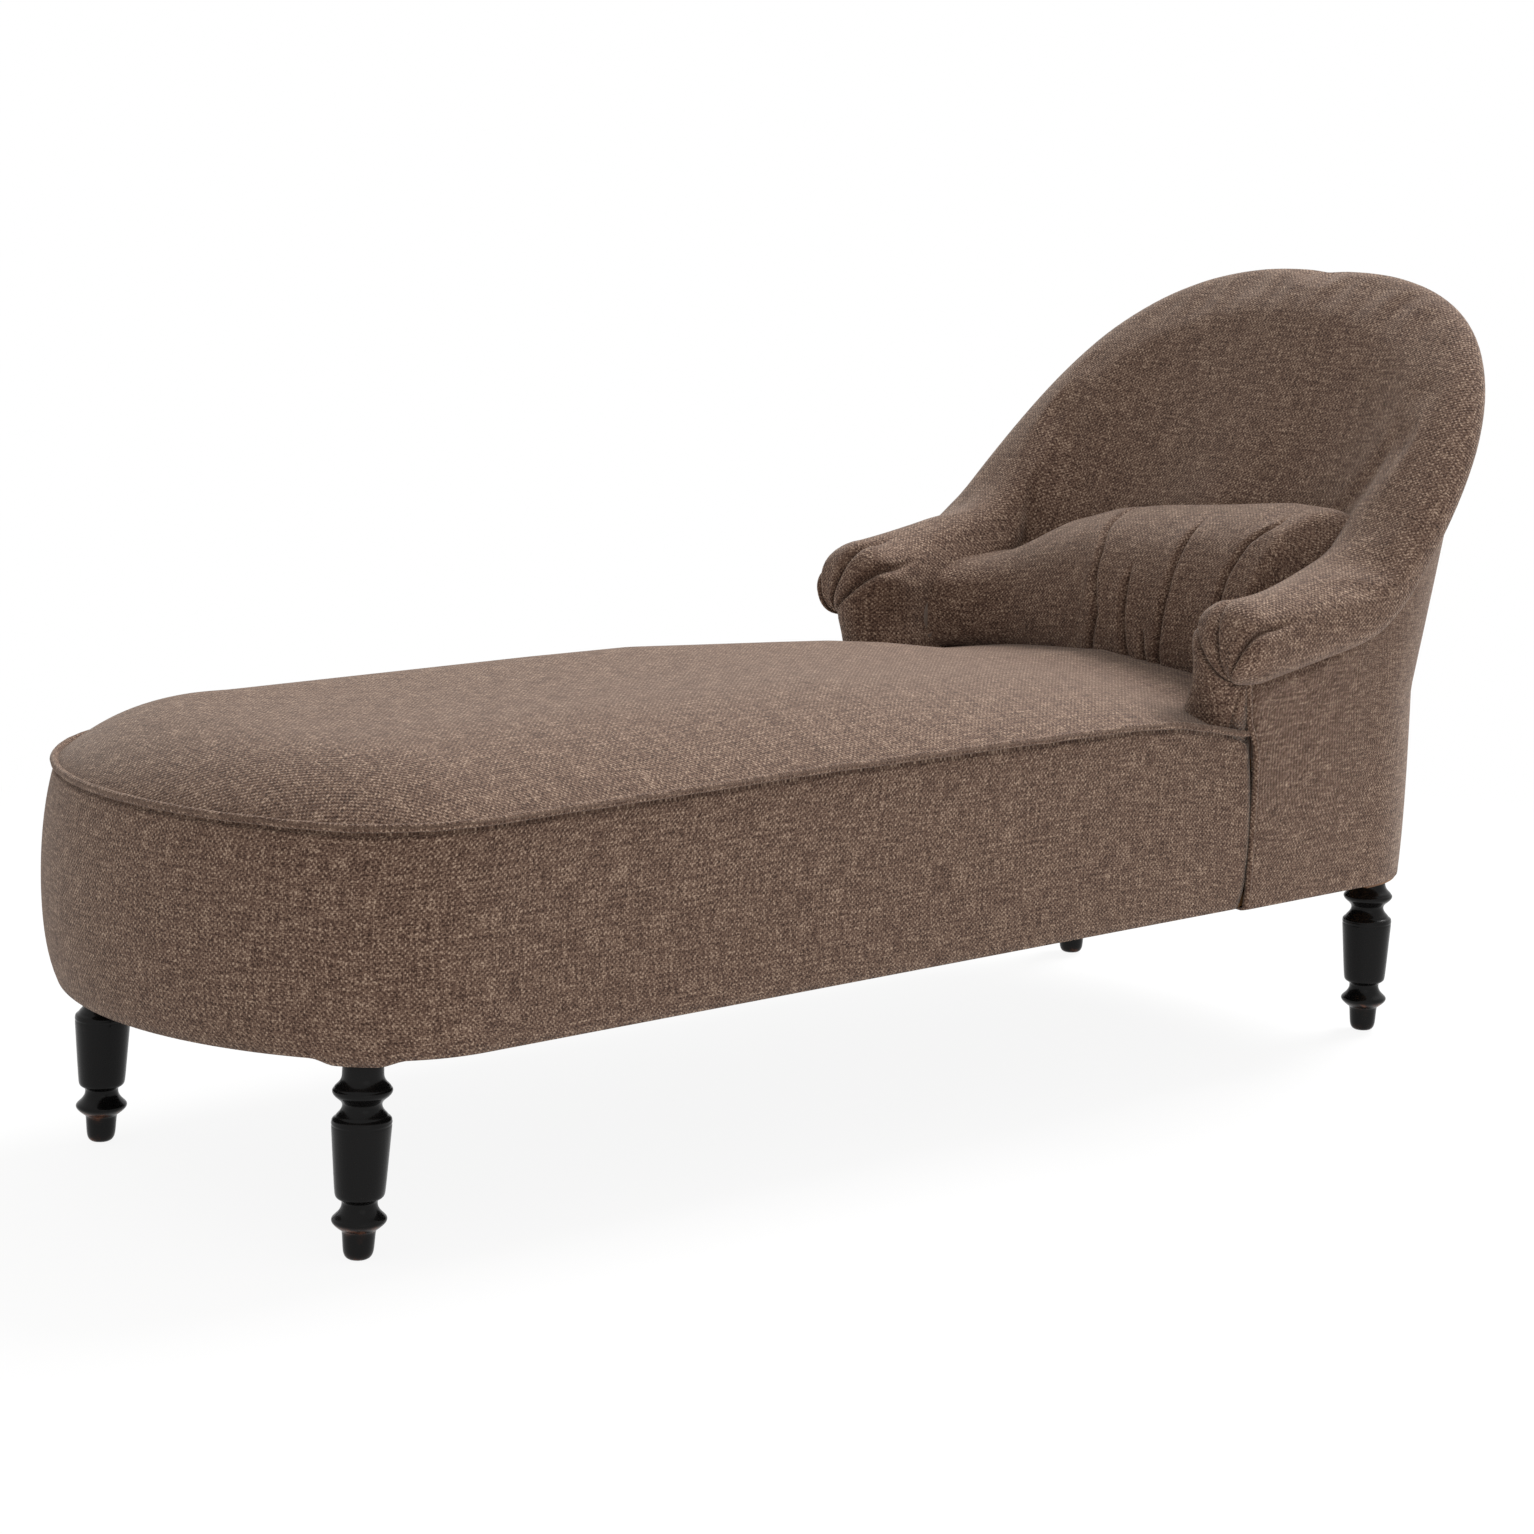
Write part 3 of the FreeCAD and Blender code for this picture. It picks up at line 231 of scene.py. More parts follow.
def grid_piece(name, points, uv, toward, wrap=False, caps=False, pole=None, thin=0.0):
    """Quad grid as one piece: wrap closes the columns, caps close the end rows, pole is the distance
    within which points are merged and thin is the thickness of a sheet."""
    rows, cols = points.shape[:2]
    bm = bmesh.new()
    layer = bm.loops.layers.uv.new("weave")
    place = bm.verts.layers.int.new("place")
    spots = [[bm.verts.new(points[i, j] * MM) for j in range(cols)] for i in range(rows)]
    for i in range(rows):
        for j in range(cols):
            spots[i][j][place] = i * cols + j
    last = cols if wrap else cols - 1
    for i in range(rows - 1):
        for j in range(last):
            n = (j + 1) % cols
            face = bm.faces.new((spots[i][j], spots[i + 1][j], spots[i + 1][n], spots[i][n]))
            if uv is None:
                continue
            for loop, (a, b) in zip(face.loops, ((i, j), (i + 1, j), (i + 1, n), (i, n))):
                loop[layer].uv = uv[a, b] * MM
    if caps:
        for row in (spots[0], spots[-1]):
            bm.faces.new(row)
        bmesh.ops.remove_doubles(bm, verts=bm.verts, dist=1e-5)
        bmesh.ops.recalc_face_normals(bm, faces=bm.faces)
    if pole is not None:
        bmesh.ops.remove_doubles(bm, verts=[v for row in spots for v in row], dist=pole * MM)
    if uv is None:
        lay_cloth(bm, layer)
    item = finish_mesh(name, bm, toward)
    if thin:
        solid = item.modifiers.new("cloth thickness", "SOLIDIFY")
        solid.thickness = thin * MM
        solid.offset = -1
    return item


def run_lengths(points, axis, zero):
    """Length along one grid direction, measured from row or column zero."""
    step = np.linalg.norm(np.diff(points, axis=axis), axis=2)
    run = np.cumsum(step, axis=axis)
    run = np.concatenate([np.zeros_like(np.take(run, [0], axis=axis)), run], axis=axis)
    return run - np.take(run, [zero], axis=axis)


def swell(points, sewn, pressure, cap, frames=14):
    """Let a sewn cover swell by up to cap; sewn says how firmly each point is held, from 0 to 1."""
    rows, cols = points.shape[:2]
    mesh = bpy.data.meshes.new("swelling")
    mesh.from_pydata((points.reshape(-1, 3) * MM).tolist(), [], grid_faces(rows, cols))
    item = new_object("swelling", mesh)
    held = item.vertex_groups.new(name="sewn")
    for k, weight in enumerate(sewn.reshape(-1)):
        if weight > 0.01:
            held.add([k], float(min(1.0, weight)), "REPLACE")
    cloth = item.modifiers.new("cover", "CLOTH")
    settings = {"quality": 6, "mass": 0.3, "tension_stiffness": 12, "compression_stiffness": 12,
                "shear_stiffness": 6, "bending_stiffness": 2, "vertex_group_mass": "sewn",
                "use_pressure": True, "uniform_pressure_force": pressure}
    for key, value in settings.items():
        setattr(cloth.settings, key, value)
    cloth.settings.effector_weights.gravity = 0
    cloth.collision_settings.use_collision = False
    cloth.point_cache.frame_start = 1
    cloth.point_cache.frame_end = frames
    scene = bpy.context.scene
    for number in range(1, frames + 1):
        scene.frame_set(number)
    shown = item.evaluated_get(bpy.context.evaluated_depsgraph_get())
    moved = np.empty(rows * cols * 3)
    shown.data.vertices.foreach_get("co", moved)
    shift = moved.reshape(rows, cols, 3) / MM - points
    length = np.maximum(np.linalg.norm(shift, axis=2, keepdims=True), 1e-9)
    shift *= np.minimum(1.0, cap / length)
    bpy.data.objects.remove(item)
    bpy.data.meshes.remove(mesh)
    scene.frame_set(1)
    return points + shift


# Materials


def linear(text):
    """Colour of an sRGB hex value as linear red, green, blue and alpha."""
    parts = [int(text[k:k + 2], 16) / 255 for k in (1, 3, 5)]
    return [c / 12.92 if c <= 0.04045 else ((c + 0.055) / 1.055) ** 2.4 for c in parts] + [1.0]


def add(tree, kind, inputs=None, stops=(), **settings):
    """Add one node. Inputs maps a socket to a value, an output or a node, which gives its first output;
    stops are a ramp's (place, hex) colours."""
    item = tree.nodes.new(kind)
    for k, (spot, colour) in enumerate(stops):
        bar = item.color_ramp.elements
        element = bar[k] if k < len(bar) else bar.new(spot)
        element.position = spot
        element.color = linear(colour)
    for name, value in settings.items():
        setattr(item, name, value)
    for key, value in (inputs or {}).items():
        if isinstance(value, bpy.types.Node):
            value = value.outputs[0]
        if isinstance(value, bpy.types.NodeSocket):
            tree.links.new(value, item.inputs[key])
        else:
            item.inputs[key].default_value = value
    return item


def new_material(name):
    material = bpy.data.materials.new(name)
    material.use_nodes = True
    tree = material.node_tree
    tree.nodes.clear()
    return material, tree


def wool_chenille():
    """Wool chenille, woven in a plain basket: dull, soft, with pale slubs among brown threads."""
    material, tree = new_material("wool_chenille_weave")
    pitch = 0.0024  # threads of about 2 mm, drawn a little coarser so that they show
    uv = add(tree, "ShaderNodeUVMap", uv_map="weave")
    threads = add(tree, "ShaderNodeVectorMath", {0: uv, 1: (math.pi / pitch,) * 3}, operation="MULTIPLY")
    split = add(tree, "ShaderNodeSeparateXYZ", {0: threads})
    warp = add(tree, "ShaderNodeMath", {0: split.outputs[0]}, operation="SINE")
    weft = add(tree, "ShaderNodeMath", {0: split.outputs[1]}, operation="SINE")
    cells = add(tree, "ShaderNodeMath", {0: warp, 1: weft}, operation="MULTIPLY")
    over = add(tree, "ShaderNodeMath", {0: cells, 1: 0.5, 2: 0.5}, operation="MULTIPLY_ADD")
    # Slubs of 3.3 by 1.4 mm along weft and warp, then streaks of 28 by 3.3 and 29 by 3 mm, as cells per metre
    patterns = []
    for across, up, detail in ((300, 740, 2), (740, 300, 2), (36, 300, 3), (330, 34, 3)):
        place = add(tree, "ShaderNodeVectorMath", {0: uv, 1: (across, up, 1)}, operation="MULTIPLY")
        noise = add(tree, "ShaderNodeTexNoise", {"Vector": place, "Scale": 1, "Detail": detail})
        patterns.append(noise.outputs["Fac"])
    slub_u, slub_v, streak_u, streak_v = patterns
    slub = add(tree, "ShaderNodeMix", {0: over, 2: slub_u, 3: slub_v})
    mottle = add(tree, "ShaderNodeMath", {0: streak_u, 1: streak_v}, operation="ADD")
    lift = add(tree, "ShaderNodeMath", {0: mottle, 1: 0.30, 2: -0.30}, operation="MULTIPLY_ADD")
    tone = add(tree, "ShaderNodeMath", {0: slub, 1: lift}, operation="ADD")
    shade = add(tree, "ShaderNodeMath", {0: over, 1: 0.14, 2: tone}, operation="MULTIPLY_ADD")
    colour = add(tree, "ShaderNodeValToRGB", {"Fac": shade}, stops=[
        (0.42, "#34241c"), (0.53, "#564137"), (0.63, "#705a4c"), (0.75, "#a48e7c")])
    height = add(tree, "ShaderNodeMath", {0: slub, 1: over}, operation="ADD")
    relief = add(tree, "ShaderNodeBump", {"Strength": 0.55, "Distance": 0.0012, "Height": height})
    shader = add(tree, "ShaderNodeBsdfPrincipled", {
        "Base Color": colour, "Roughness": 0.93, "Normal": relief, "Specular IOR Level": 0.15,
        "Sheen Weight": 0.28, "Sheen Roughness": 0.5, "Sheen Tint": linear("#c8bfb6")})
    add(tree, "ShaderNodeOutputMaterial", {0: shader})
    return material


def ebonised_wood():
    """Beech stained black and lacquered: satin, with red-brown wood where edges have worn."""
    material, tree = new_material("ebonised_beech_lacquer")
    place = add(tree, "ShaderNodeTexCoord").outputs["Object"]
    # Worn patches of about 10 mm and a grain of 4 by 45 mm
    worn = add(tree, "ShaderNodeTexNoise", {"Vector": place, "Scale": 95.0, "Detail": 4.0}).outputs["Fac"]
    edge = add(tree, "ShaderNodeAttribute", attribute_name="wear").outputs["Fac"]
    patch = add(tree, "ShaderNodeMath", {0: worn, 1: edge}, operation="MULTIPLY")
    colour = add(tree, "ShaderNodeValToRGB", {"Fac": patch}, stops=[
        (0.30, "#0c0b0b"), (0.42, "#1d1310"), (0.52, "#4a2d20"), (0.66, "#6e4836")])
    rough = add(tree, "ShaderNodeMapRange", {0: worn, 3: 0.2, 4: 0.34})
    stretch = add(tree, "ShaderNodeVectorMath", {0: place, 1: (260.0, 260.0, 22.0)},
                  operation="MULTIPLY")
    grain = add(tree, "ShaderNodeTexNoise", {"Vector": stretch, "Scale": 1.0, "Detail": 3.0}).outputs["Fac"]
    relief = add(tree, "ShaderNodeBump", {"Strength": 0.25, "Distance": 0.0004, "Height": grain})
    shader = add(tree, "ShaderNodeBsdfPrincipled", {
        "Base Color": colour, "Roughness": rough, "Normal": relief, "Specular IOR Level": 0.09,
        "Coat Weight": 0.11, "Coat Roughness": 0.07})
    add(tree, "ShaderNodeOutputMaterial", {0: shader})
    return material


def plain_wood():
    """Sawn beech of the frame, browned with age, with straight grain along its length."""
    material, tree = new_material("sawn_beech")
    place = add(tree, "ShaderNodeTexCoord").outputs["Object"]
    # Grain lines of about 6 mm, drawn out to about 110 mm along the piece
    stretch = add(tree, "ShaderNodeVectorMath", {0: place, 1: (9.0, 160.0, 160.0)},
                  operation="MULTIPLY")
    grain = add(tree, "ShaderNodeTexNoise", {"Vector": stretch, "Scale": 1.0, "Detail": 5.0}).outputs["Fac"]
    colour = add(tree, "ShaderNodeValToRGB", {"Fac": grain}, stops=[
        (0.30, "#5e3d22"), (0.50, "#7e5733"), (0.70, "#9a7047")])
    relief = add(tree, "ShaderNodeBump", {"Strength": 0.3, "Distance": 0.0005, "Height": grain})
    shader = add(tree, "ShaderNodeBsdfPrincipled", {"Base Color": colour, "Roughness": 0.7, "Normal": relief})
    add(tree, "ShaderNodeOutputMaterial", {0: shader})
    return material


def woven_cloth(name, dark, light, scale):
    """Plain woven cloth, dull, with its two sets of threads seen as crossing bands."""
    material, tree = new_material(name)
    place = add(tree, "ShaderNodeTexCoord").outputs["Object"]
    bands = []
    for way in ("X", "Y"):
        wave = add(tree, "ShaderNodeTexWave", {"Vector": place, "Scale": scale, "Distortion": 0.6},
                   bands_direction=way)
        bands.append(wave.outputs["Fac"])
    cross = add(tree, "ShaderNodeMath", {0: bands[0], 1: bands[1]}, operation="MULTIPLY")
    colour = add(tree, "ShaderNodeValToRGB", {"Fac": cross}, stops=[(0.0, dark), (0.8, light)])
    relief = add(tree, "ShaderNodeBump", {"Strength": 0.4, "Distance": 0.0006, "Height": cross})
    shader = add(tree, "ShaderNodeBsdfPrincipled", {
        "Base Color": colour, "Roughness": 0.9, "Normal": relief})
    add(tree, "ShaderNodeOutputMaterial", {0: shader})
    return material


def spring_steel():
    """Coppered spring wire, drawn smooth and gone dull in spots of about 5 mm with age."""
    material, tree = new_material("coppered_spring_wire")
    place = add(tree, "ShaderNodeTexCoord").outputs["Object"]
    spots = add(tree, "ShaderNodeTexNoise", {"Vector": place, "Scale": 220.0, "Detail": 3.0}).outputs["Fac"]
    colour = add(tree, "ShaderNodeValToRGB", {"Fac": spots}, stops=[
        (0.35, "#6a4a38"), (0.65, "#a98465")])
    rough = add(tree, "ShaderNodeMapRange", {0: spots, 3: 0.3, 4: 0.55})
    shader = add(tree, "ShaderNodeBsdfPrincipled", {
        "Base Color": colour, "Roughness": rough, "Metallic": 1.0})
    add(tree, "ShaderNodeOutputMaterial", {0: shader})
    return material


FABRIC = wool_chenille()
EBONY = ebonised_wood()
BEECH = plain_wood()
# A band is 2 pi / (20 scale) metres wide, so the threads are 1.05 mm in the jute and 0.63 mm in the cambric
JUTE = woven_cloth("jute_webbing", "#7a5f3c", "#b89a68", 300.0)
CAMBRIC = woven_cloth("black_cambric", "#141312", "#2c2a28", 500.0)
STEEL = spring_steel()


def dress(item, material, nodes=()):
    """Give a piece its material, hang it under the root body and hide the solids that it stands for."""
    item.data.materials.append(material)
    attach(item, "root")
    if nodes:
        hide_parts(*nodes)
    return item


# Seat: the level of the piping round its edge, the crown and the border

SEAT_UNDERSIDE = 345.0  # height to which the skirt of the top cover goes down
SEAT_LEVEL = 394.0   # level of the seat before its crown is added
TOP_INSET = 6.5      # how far the edge of the top cover lies inside the border
REAR_HALF = 236.0    # half width of the top cover between the arms
REAR_X = 506.0       # its rear end
FOOT_SHOULDER = 9.0  # how far the piping is drawn in round the foot end
DIP_SPOT = (-702.0, 262.0)  # x and distance from the middle at which the border comes lowest
DIP_Z = 180.0        # its lower edge there


def welt_level(x):
    """Height of the piping: it dips to the arm fronts and a little at the foot corners."""
    return np.interp(x, [-810, -700, -560, -200, 200, 260, 320, 345],
                     [391, 388, 391, 395, 393, 388, 376, 371])


def seat_outline(inset, rear):
    """Outline from the left arm round the foot to the right arm."""
    foot = foot_line(inset, 150)
    half = SIDE - inset
    count = int((rear - FOOT_X) / 8)
    side = np.stack([np.linspace(rear, FOOT_X, count)[:-1], np.full(count - 1, half)], axis=1)
    return np.vstack([side, foot, np.stack([side[::-1, 0], -side[::-1, 1]], axis=1)])


def inward_from(line):
    """Level directions from points on the seat's edge towards its middle."""
    centre = np.stack([np.clip(line[:, 0], FOOT_X + 20, 600), np.zeros(len(line))], axis=1)
    inward = centre - line[:, :2]
    return inward / np.linalg.norm(inward, axis=1, keepdims=True)


def drawn_in(line, share=1.0):
    """Move a line inward round the foot end, where the border swells out below the piping."""
    return line + inward_from(line) * (FOOT_SHOULDER * share * ease((-560 - line[:, 0]) / 130))[:, None]


def make_seat_top():
    """Crowned cover in lines from its edge to the middle, with a skirt and a flat underside."""
    edge = drawn_in(seat_outline(TOP_INSET, ARM_X + 44))
    rear = np.array([(x, REAR_HALF) for x in np.linspace(REAR_X, ARM_X + 50, 20)])
    edge = np.vstack([rear, edge, rear[::-1] * (1, -1)])
    axis = np.stack([np.clip(edge[:, 0], FOOT_X + 30, 600), np.zeros(len(edge))], axis=1)
    shares = np.linspace(0, 1, 36) ** 1.35
    flat = lerp(edge[:, None, :], axis[:, None, :], shares[None, :, None])
    away = np.linalg.norm(flat - edge[:, None, :], axis=2)
    x, y = flat[..., 0], flat[..., 1]
    reach = np.interp(edge[:, 0], [-808, -700, -560, 600], [128, 150, 190, 200])[:, None]
    behind = (edge[:, 0] > ARM_X + 45)[:, None]
    crown = np.interp(x, [-808, -600, -80, 130, 330, 520], [51, 53, 51, 38, 24, 16])
    rise = 1 - (1 - np.clip(away / reach, 0, 1)) ** 2.2
    hidden = SIDE - TOP_INSET - REAR_HALF
    rise = np.where(behind, 1 - (1 - np.clip((away + hidden) / 200, 0, 1)) ** 2.2, rise)
    inward = np.where(behind, (away + hidden) / (SIDE - TOP_INSET), shares[None, :])
    level = lerp(welt_level(edge[:, 0])[:, None], SEAT_LEVEL, inward)
    points = np.stack([x, y, level + crown * rise], axis=2)
    skirt = points[:, :1].copy()
    skirt[..., 2] = SEAT_UNDERSIDE
    points = np.concatenate([skirt, points], axis=1)
    item = grid_piece("seat_top", points, points[..., :2], (0, 0, 1), pole=0.6)
    bm = bmesh.new()
    bm.from_mesh(item.data)
    bmesh.ops.holes_fill(bm, edges=[e for e in bm.edges if e.is_boundary], sides=0)
    bm.to_mesh(item.data)
    bm.free()
    return dress(item, FABRIC, ("seat_top_cover", "seat_stuffing"))


def border_dip(x, y):
    """How far the border comes down over the blocks of the foot legs, from 0 to 1."""
    away = np.hypot(x - DIP_SPOT[0], np.abs(y) - DIP_SPOT[1])
    return ease((44 - away) / 24)


def make_border():
    """Border in rows from its hem up to a crease under the piping."""
    full = seat_outline(0, SEAM_X - 3)
    count = len(full)
    inward = inward_from(full)
    high = welt_level(full[:, 0]) - 1
    dip = border_dip(full[:, 0], full[:, 1])
    low = lerp(BOTTOM + 1, DIP_Z, dip)
    sewn_in = np.zeros(count)
    sewn_in[[0, -1]] = 2.0
    rows = []
    for up in np.concatenate([np.linspace(0, 0.96, 29) ** 0.9, [0.975, 0.985, 0.993, 1.0]]):
        inset = 5.5 * up ** 5 + 11 * (1 - up) ** 7 - 2.5 * np.sin(np.pi * up) + sewn_in
        inset = inset + 6 * dip * (1 - up) ** 4 + 6 * ease((up - 0.972) / 0.025)
        line = drawn_in(full, up ** 3.5) + inward * inset[:, None]
        rows.append(np.column_stack([line, lerp(low, high, up)]))
    hem = rows[0]
    for more, lift in ((5, -1.2), (13, -0.6), (26, 0.6)):
        rows.insert(0, hem + np.column_stack([inward * more, np.full(count, lift)]))
    points = np.stack(rows, axis=1)
    uv = np.stack([run_lengths(points, 0, count // 2), run_lengths(points, 1, 30)], axis=2)
    item = grid_piece("border_cover", points, uv, (-1, 0, 0), thin=3.0)
    return dress(item, FABRIC, ("seat_border",))


# Piping: a cord tree that follows any path and carries its own weave coordinates


def piping_tree():
    """Cord of a radius along a path of edges, with the length along and round it as weave coordinates."""
    tree = bpy.data.node_groups.new("piping", "GeometryNodeTree")
    inputs = {"Path": "Geometry", "Radius": "Float", "Waviness": "Float", "Finish": "Material"}
    for name, kind in inputs.items():
        tree.interface.new_socket(name, in_out="INPUT", socket_type="NodeSocket" + kind)
    tree.interface.new_socket("Piping", in_out="OUTPUT", socket_type="NodeSocketGeometry")
    given = add(tree, "NodeGroupInput")
    line = add(tree, "GeometryNodeMeshToCurve", {"Mesh": given.outputs["Path"]})
    line = add(tree, "GeometryNodeResampleCurve", {"Curve": line, "Length": 0.006}, mode="LENGTH")
    # The line is taken every 6 mm and strays in waves of about 40 mm
    noise = add(tree, "ShaderNodeTexNoise", {"Scale": 26.0, "Detail": 1.0}).outputs["Color"]
    centred = add(tree, "ShaderNodeVectorMath", {0: noise, 1: (0.5, 0.5, 0.5)},
                  operation="SUBTRACT")
    shift = add(tree, "ShaderNodeVectorMath", {0: centred, "Scale": given.outputs["Waviness"]},
                operation="SCALE")
    line = add(tree, "GeometryNodeSetPosition", {"Geometry": line, "Offset": shift})
    along = add(tree, "GeometryNodeSplineParameter").outputs["Length"]
    keep = add(tree, "GeometryNodeCaptureAttribute", {"Geometry": line})
    keep.capture_items.new("FLOAT", "Along")
    tree.links.new(along, keep.inputs[1])
    disc = add(tree, "GeometryNodeCurvePrimitiveCircle", {
        "Resolution": 12, "Radius": given.outputs["Radius"]})
    around = add(tree, "GeometryNodeSplineParameter").outputs["Length"]
    keep_round = add(tree, "GeometryNodeCaptureAttribute", {"Geometry": disc.outputs[0]})
    keep_round.capture_items.new("FLOAT", "Around")
    tree.links.new(around, keep_round.inputs[1])
    tube = add(tree, "GeometryNodeCurveToMesh", {
        "Curve": keep.outputs[0], "Profile Curve": keep_round.outputs[0], "Fill Caps": True})
    flat = add(tree, "ShaderNodeCombineXYZ", {0: keep.outputs[1], 1: keep_round.outputs[1]})
    tube = add(tree, "GeometryNodeStoreNamedAttribute", {"Geometry": tube, "Name": "weave", "Value": flat},
               data_type="FLOAT2", domain="CORNER")
    tube = add(tree, "GeometryNodeSetShadeSmooth", {"Geometry": tube})
    tube = add(tree, "GeometryNodeRealizeInstances", {"Geometry": tube})
    tube = add(tree, "GeometryNodeSetMaterial", {
        "Geometry": tube, "Material": given.outputs["Finish"]})
    add(tree, "NodeGroupOutput", {"Piping": tube})
    return tree


PIPING = piping_tree()


def make_piping(name, path, radius, waviness, nodes):
    """Piping along a path, made by the tree and kept as a mesh."""
    mesh = bpy.data.meshes.new(name + "_path")
    mesh.from_pydata((path * MM).tolist(), [(k, k + 1) for k in range(len(path) - 1)], [])
    carrier = new_object(name + "_path", mesh)
    maker = carrier.modifiers.new("piping", "NODES")
    maker.node_group = PIPING
    given = {"Radius": radius * MM, "Waviness": waviness * MM, "Finish": FABRIC}
    for socket in PIPING.interface.items_tree:
        if socket.in_out == "INPUT" and socket.name in given:
            maker[socket.identifier] = given[socket.name]
    shown = carrier.evaluated_get(bpy.context.evaluated_depsgraph_get())
    made = bpy.data.meshes.new_from_object(shown)
    made.name = name
    item = new_object(name, made)
    bpy.data.objects.remove(carrier)
    bpy.data.meshes.remove(mesh)
    made.materials.clear()
    return dress(item, FABRIC, nodes)


def make_seat_welt():
    """Piping round the edge of the seat."""
    line = drawn_in(seat_outline(4.5, SEAM_X - 4))
    level = welt_level(line[:, 0]) + 2.0
    return make_piping("seat_piping", np.column_stack([line, level]), WELT_R, 1.6, ("seat_welt",))


def make_seam_piping(side, sign):
    """Piping of the upright seam behind one arm front, which runs up under the roll."""
    spots = [(SEAM_X - 1, 305, 189), (SEAM_X - 2, 309, 230), (SEAM_X, 310, 300),
             (SEAM_X + 1, 309.5, 350), (SEAM_X - 1, 307.5, 368), (SEAM_X - 7, 306.5, 382),
             (SEAM_X - 9, 307, 400), (SEAM_X - 12, 308, 420), (SEAM_X - 13, 307, 432)]
    path = spline([(x, sign * y, z) for x, y, z in spots], 60)
    return make_piping("panel_piping_" + side, path, 3.4, 1.4, ("seam_piping_" + side,))


# Tub back and arms: one run of sections from arm front to arm front

INSIDE, ROUND, UNDER = 22, 64, 6  # points of a section up the inside, over the roll and in to the seam
UNDER_FULL = 2.8     # how square the underside of the rolls is; 2 is an ellipse
WING = 27.0          # how far the roll swells where arm and back meet
WING_SPOT = math.radians(120)  # angle on the roll at which it swells most
INSIDE_LOW = 362.0   # height of the foot of the inside of arms and back
ROLL_STEPS = 44      # steps in which a roll is drawn before it is divided evenly
FRONT_ARC = (188.0, -68.0)  # angles at which the roll begins and ends on the arm fronts
FRONT_X = ARM_X + 26.0  # where the arm fronts begin to turn
FRONT_DEPTH = 38.0   # how far the arm fronts bulge
KNOT = (SEAM_X - 16.0, 309.0, 424.0)  # where their pleats gather
FRONT_STEPS = 18     # rows of the arm front, the arm and the tub back
ARM_STEPS = 22
TUB_STEPS = 97
FRONT_PLEATS = ((159.6, 18.0), (102.7, 19.0), (21.4, 17.0))  # angle on the roll and depth of each


def joined(low, roll, end):
    """Section line: up the inside, over the roll, in to the seam."""
    inside = spline(low + [roll[0]], INSIDE + 1)[:-1]
    under = spline([roll[-1]] + end, UNDER + 1)[1:]
    return np.vstack([inside, even(np.array(roll), ROUND), under])


def rounded(a, full):
    """Cosine and sine of an angle on a roll, with the lower half made fuller."""
    c, s = math.cos(a), math.sin(a)
    if a >= 0:
        return c, s
    return c ** (2 / full), -(-s) ** (2 / full)


def arm_section(x):
    """Section of the arm at x as (distance from the middle, height)."""
    share = (TUB_X - x) / ARM_LENGTH
    back = 1 - share
    reach, height = lerp(RIM_HALF, 290.0, share), lerp(RIM_LOW, 463.0, share)
    out, tall = lerp(ROLL_OUT, 50.0, share), lerp(ROLL_THICK / math.cos(RAKE), 45.0, share)
    roll = []
    arc = lerp(FRONT_ARC[0], 165, back), lerp(FRONT_ARC[1], -52, back)
    for a in np.radians(np.linspace(*arc, ROLL_STEPS)):
        more = WING * back ** 2 * bump((a - WING_SPOT) / 0.7)
        c, s = rounded(a, UNDER_FULL)
        roll.append((reach + (out + more) * c, height + (tall + more) * s))
    first = roll[0]
    low = [(INNER_HALF, INSIDE_LOW), (lerp(229, 230, share), 396.0),
           (lerp(233, first[0] - 2, share), lerp(430, 428, share))]
    seam = arm_seam(x)
    return joined(low, roll, [(297.0, seam + 4), (288.0, seam + 1)])


def inner_reach(turn):
    """Distance from the tub axis to the foot of the inside back in one direction."""
    along, across = abs(math.cos(turn)) / 62.0, abs(math.sin(turn)) / INNER_HALF
    return (along ** 2.4 + across ** 2.4) ** (-1 / 2.4)


def tub_section(turn):
    """Section of the tub back in one direction from its axis."""
    reach, height = rim(turn)
    lean = math.cos(turn)
    out_r = ROLL_OUT * (1 - lean * (1 - math.cos(RAKE)))
    out_z = ROLL_OUT * math.sin(RAKE) * lean
    top_r = -ROLL_THICK * math.sin(RAKE) * lean
    top_z = ROLL_THICK * (lean * math.cos(RAKE) + (1 - lean) / math.cos(RAKE))
    aside = math.degrees(abs(turn)) - 90
    wing = WING * bump(aside / 26)
    full = lerp(2.0, UNDER_FULL, bump(aside / 35))
    roll = []
    arc = lerp(165, 118, lean ** 0.6), lerp(-52, -44, lean)
    for a in np.radians(np.linspace(*arc, ROLL_STEPS)):
        more = 1 + wing * bump((a - WING_SPOT) / 0.7) / 60
        c, s = np.array(rounded(a, full)) * more
        roll.append((reach + out_r * c + top_r * s, height + out_z * c + top_z * s))
    low_r = inner_reach(turn)
    side_z = RIM_LOW - 36
    fold_z = side_z + (546 - side_z) * lean * lean
    low = [(low_r, INSIDE_LOW), (low_r + 2, lerp(396, fold_z - 60, lean)), (low_r + 4 + 10 * lean, fold_z)]
    for out, up in ((0.30, 0.33), (0.64, 0.66)):
        low.append((lerp(low_r + 7 + 10 * lean, roll[0][0], out) + 4 * lean, lerp(fold_z, roll[0][1], up)))
    seam = seam_height(turn)
    wall = wall_reach(turn, seam)
    return joined(low, roll, [(wall - 9, seam + 4), (wall - 16, seam + 1)])


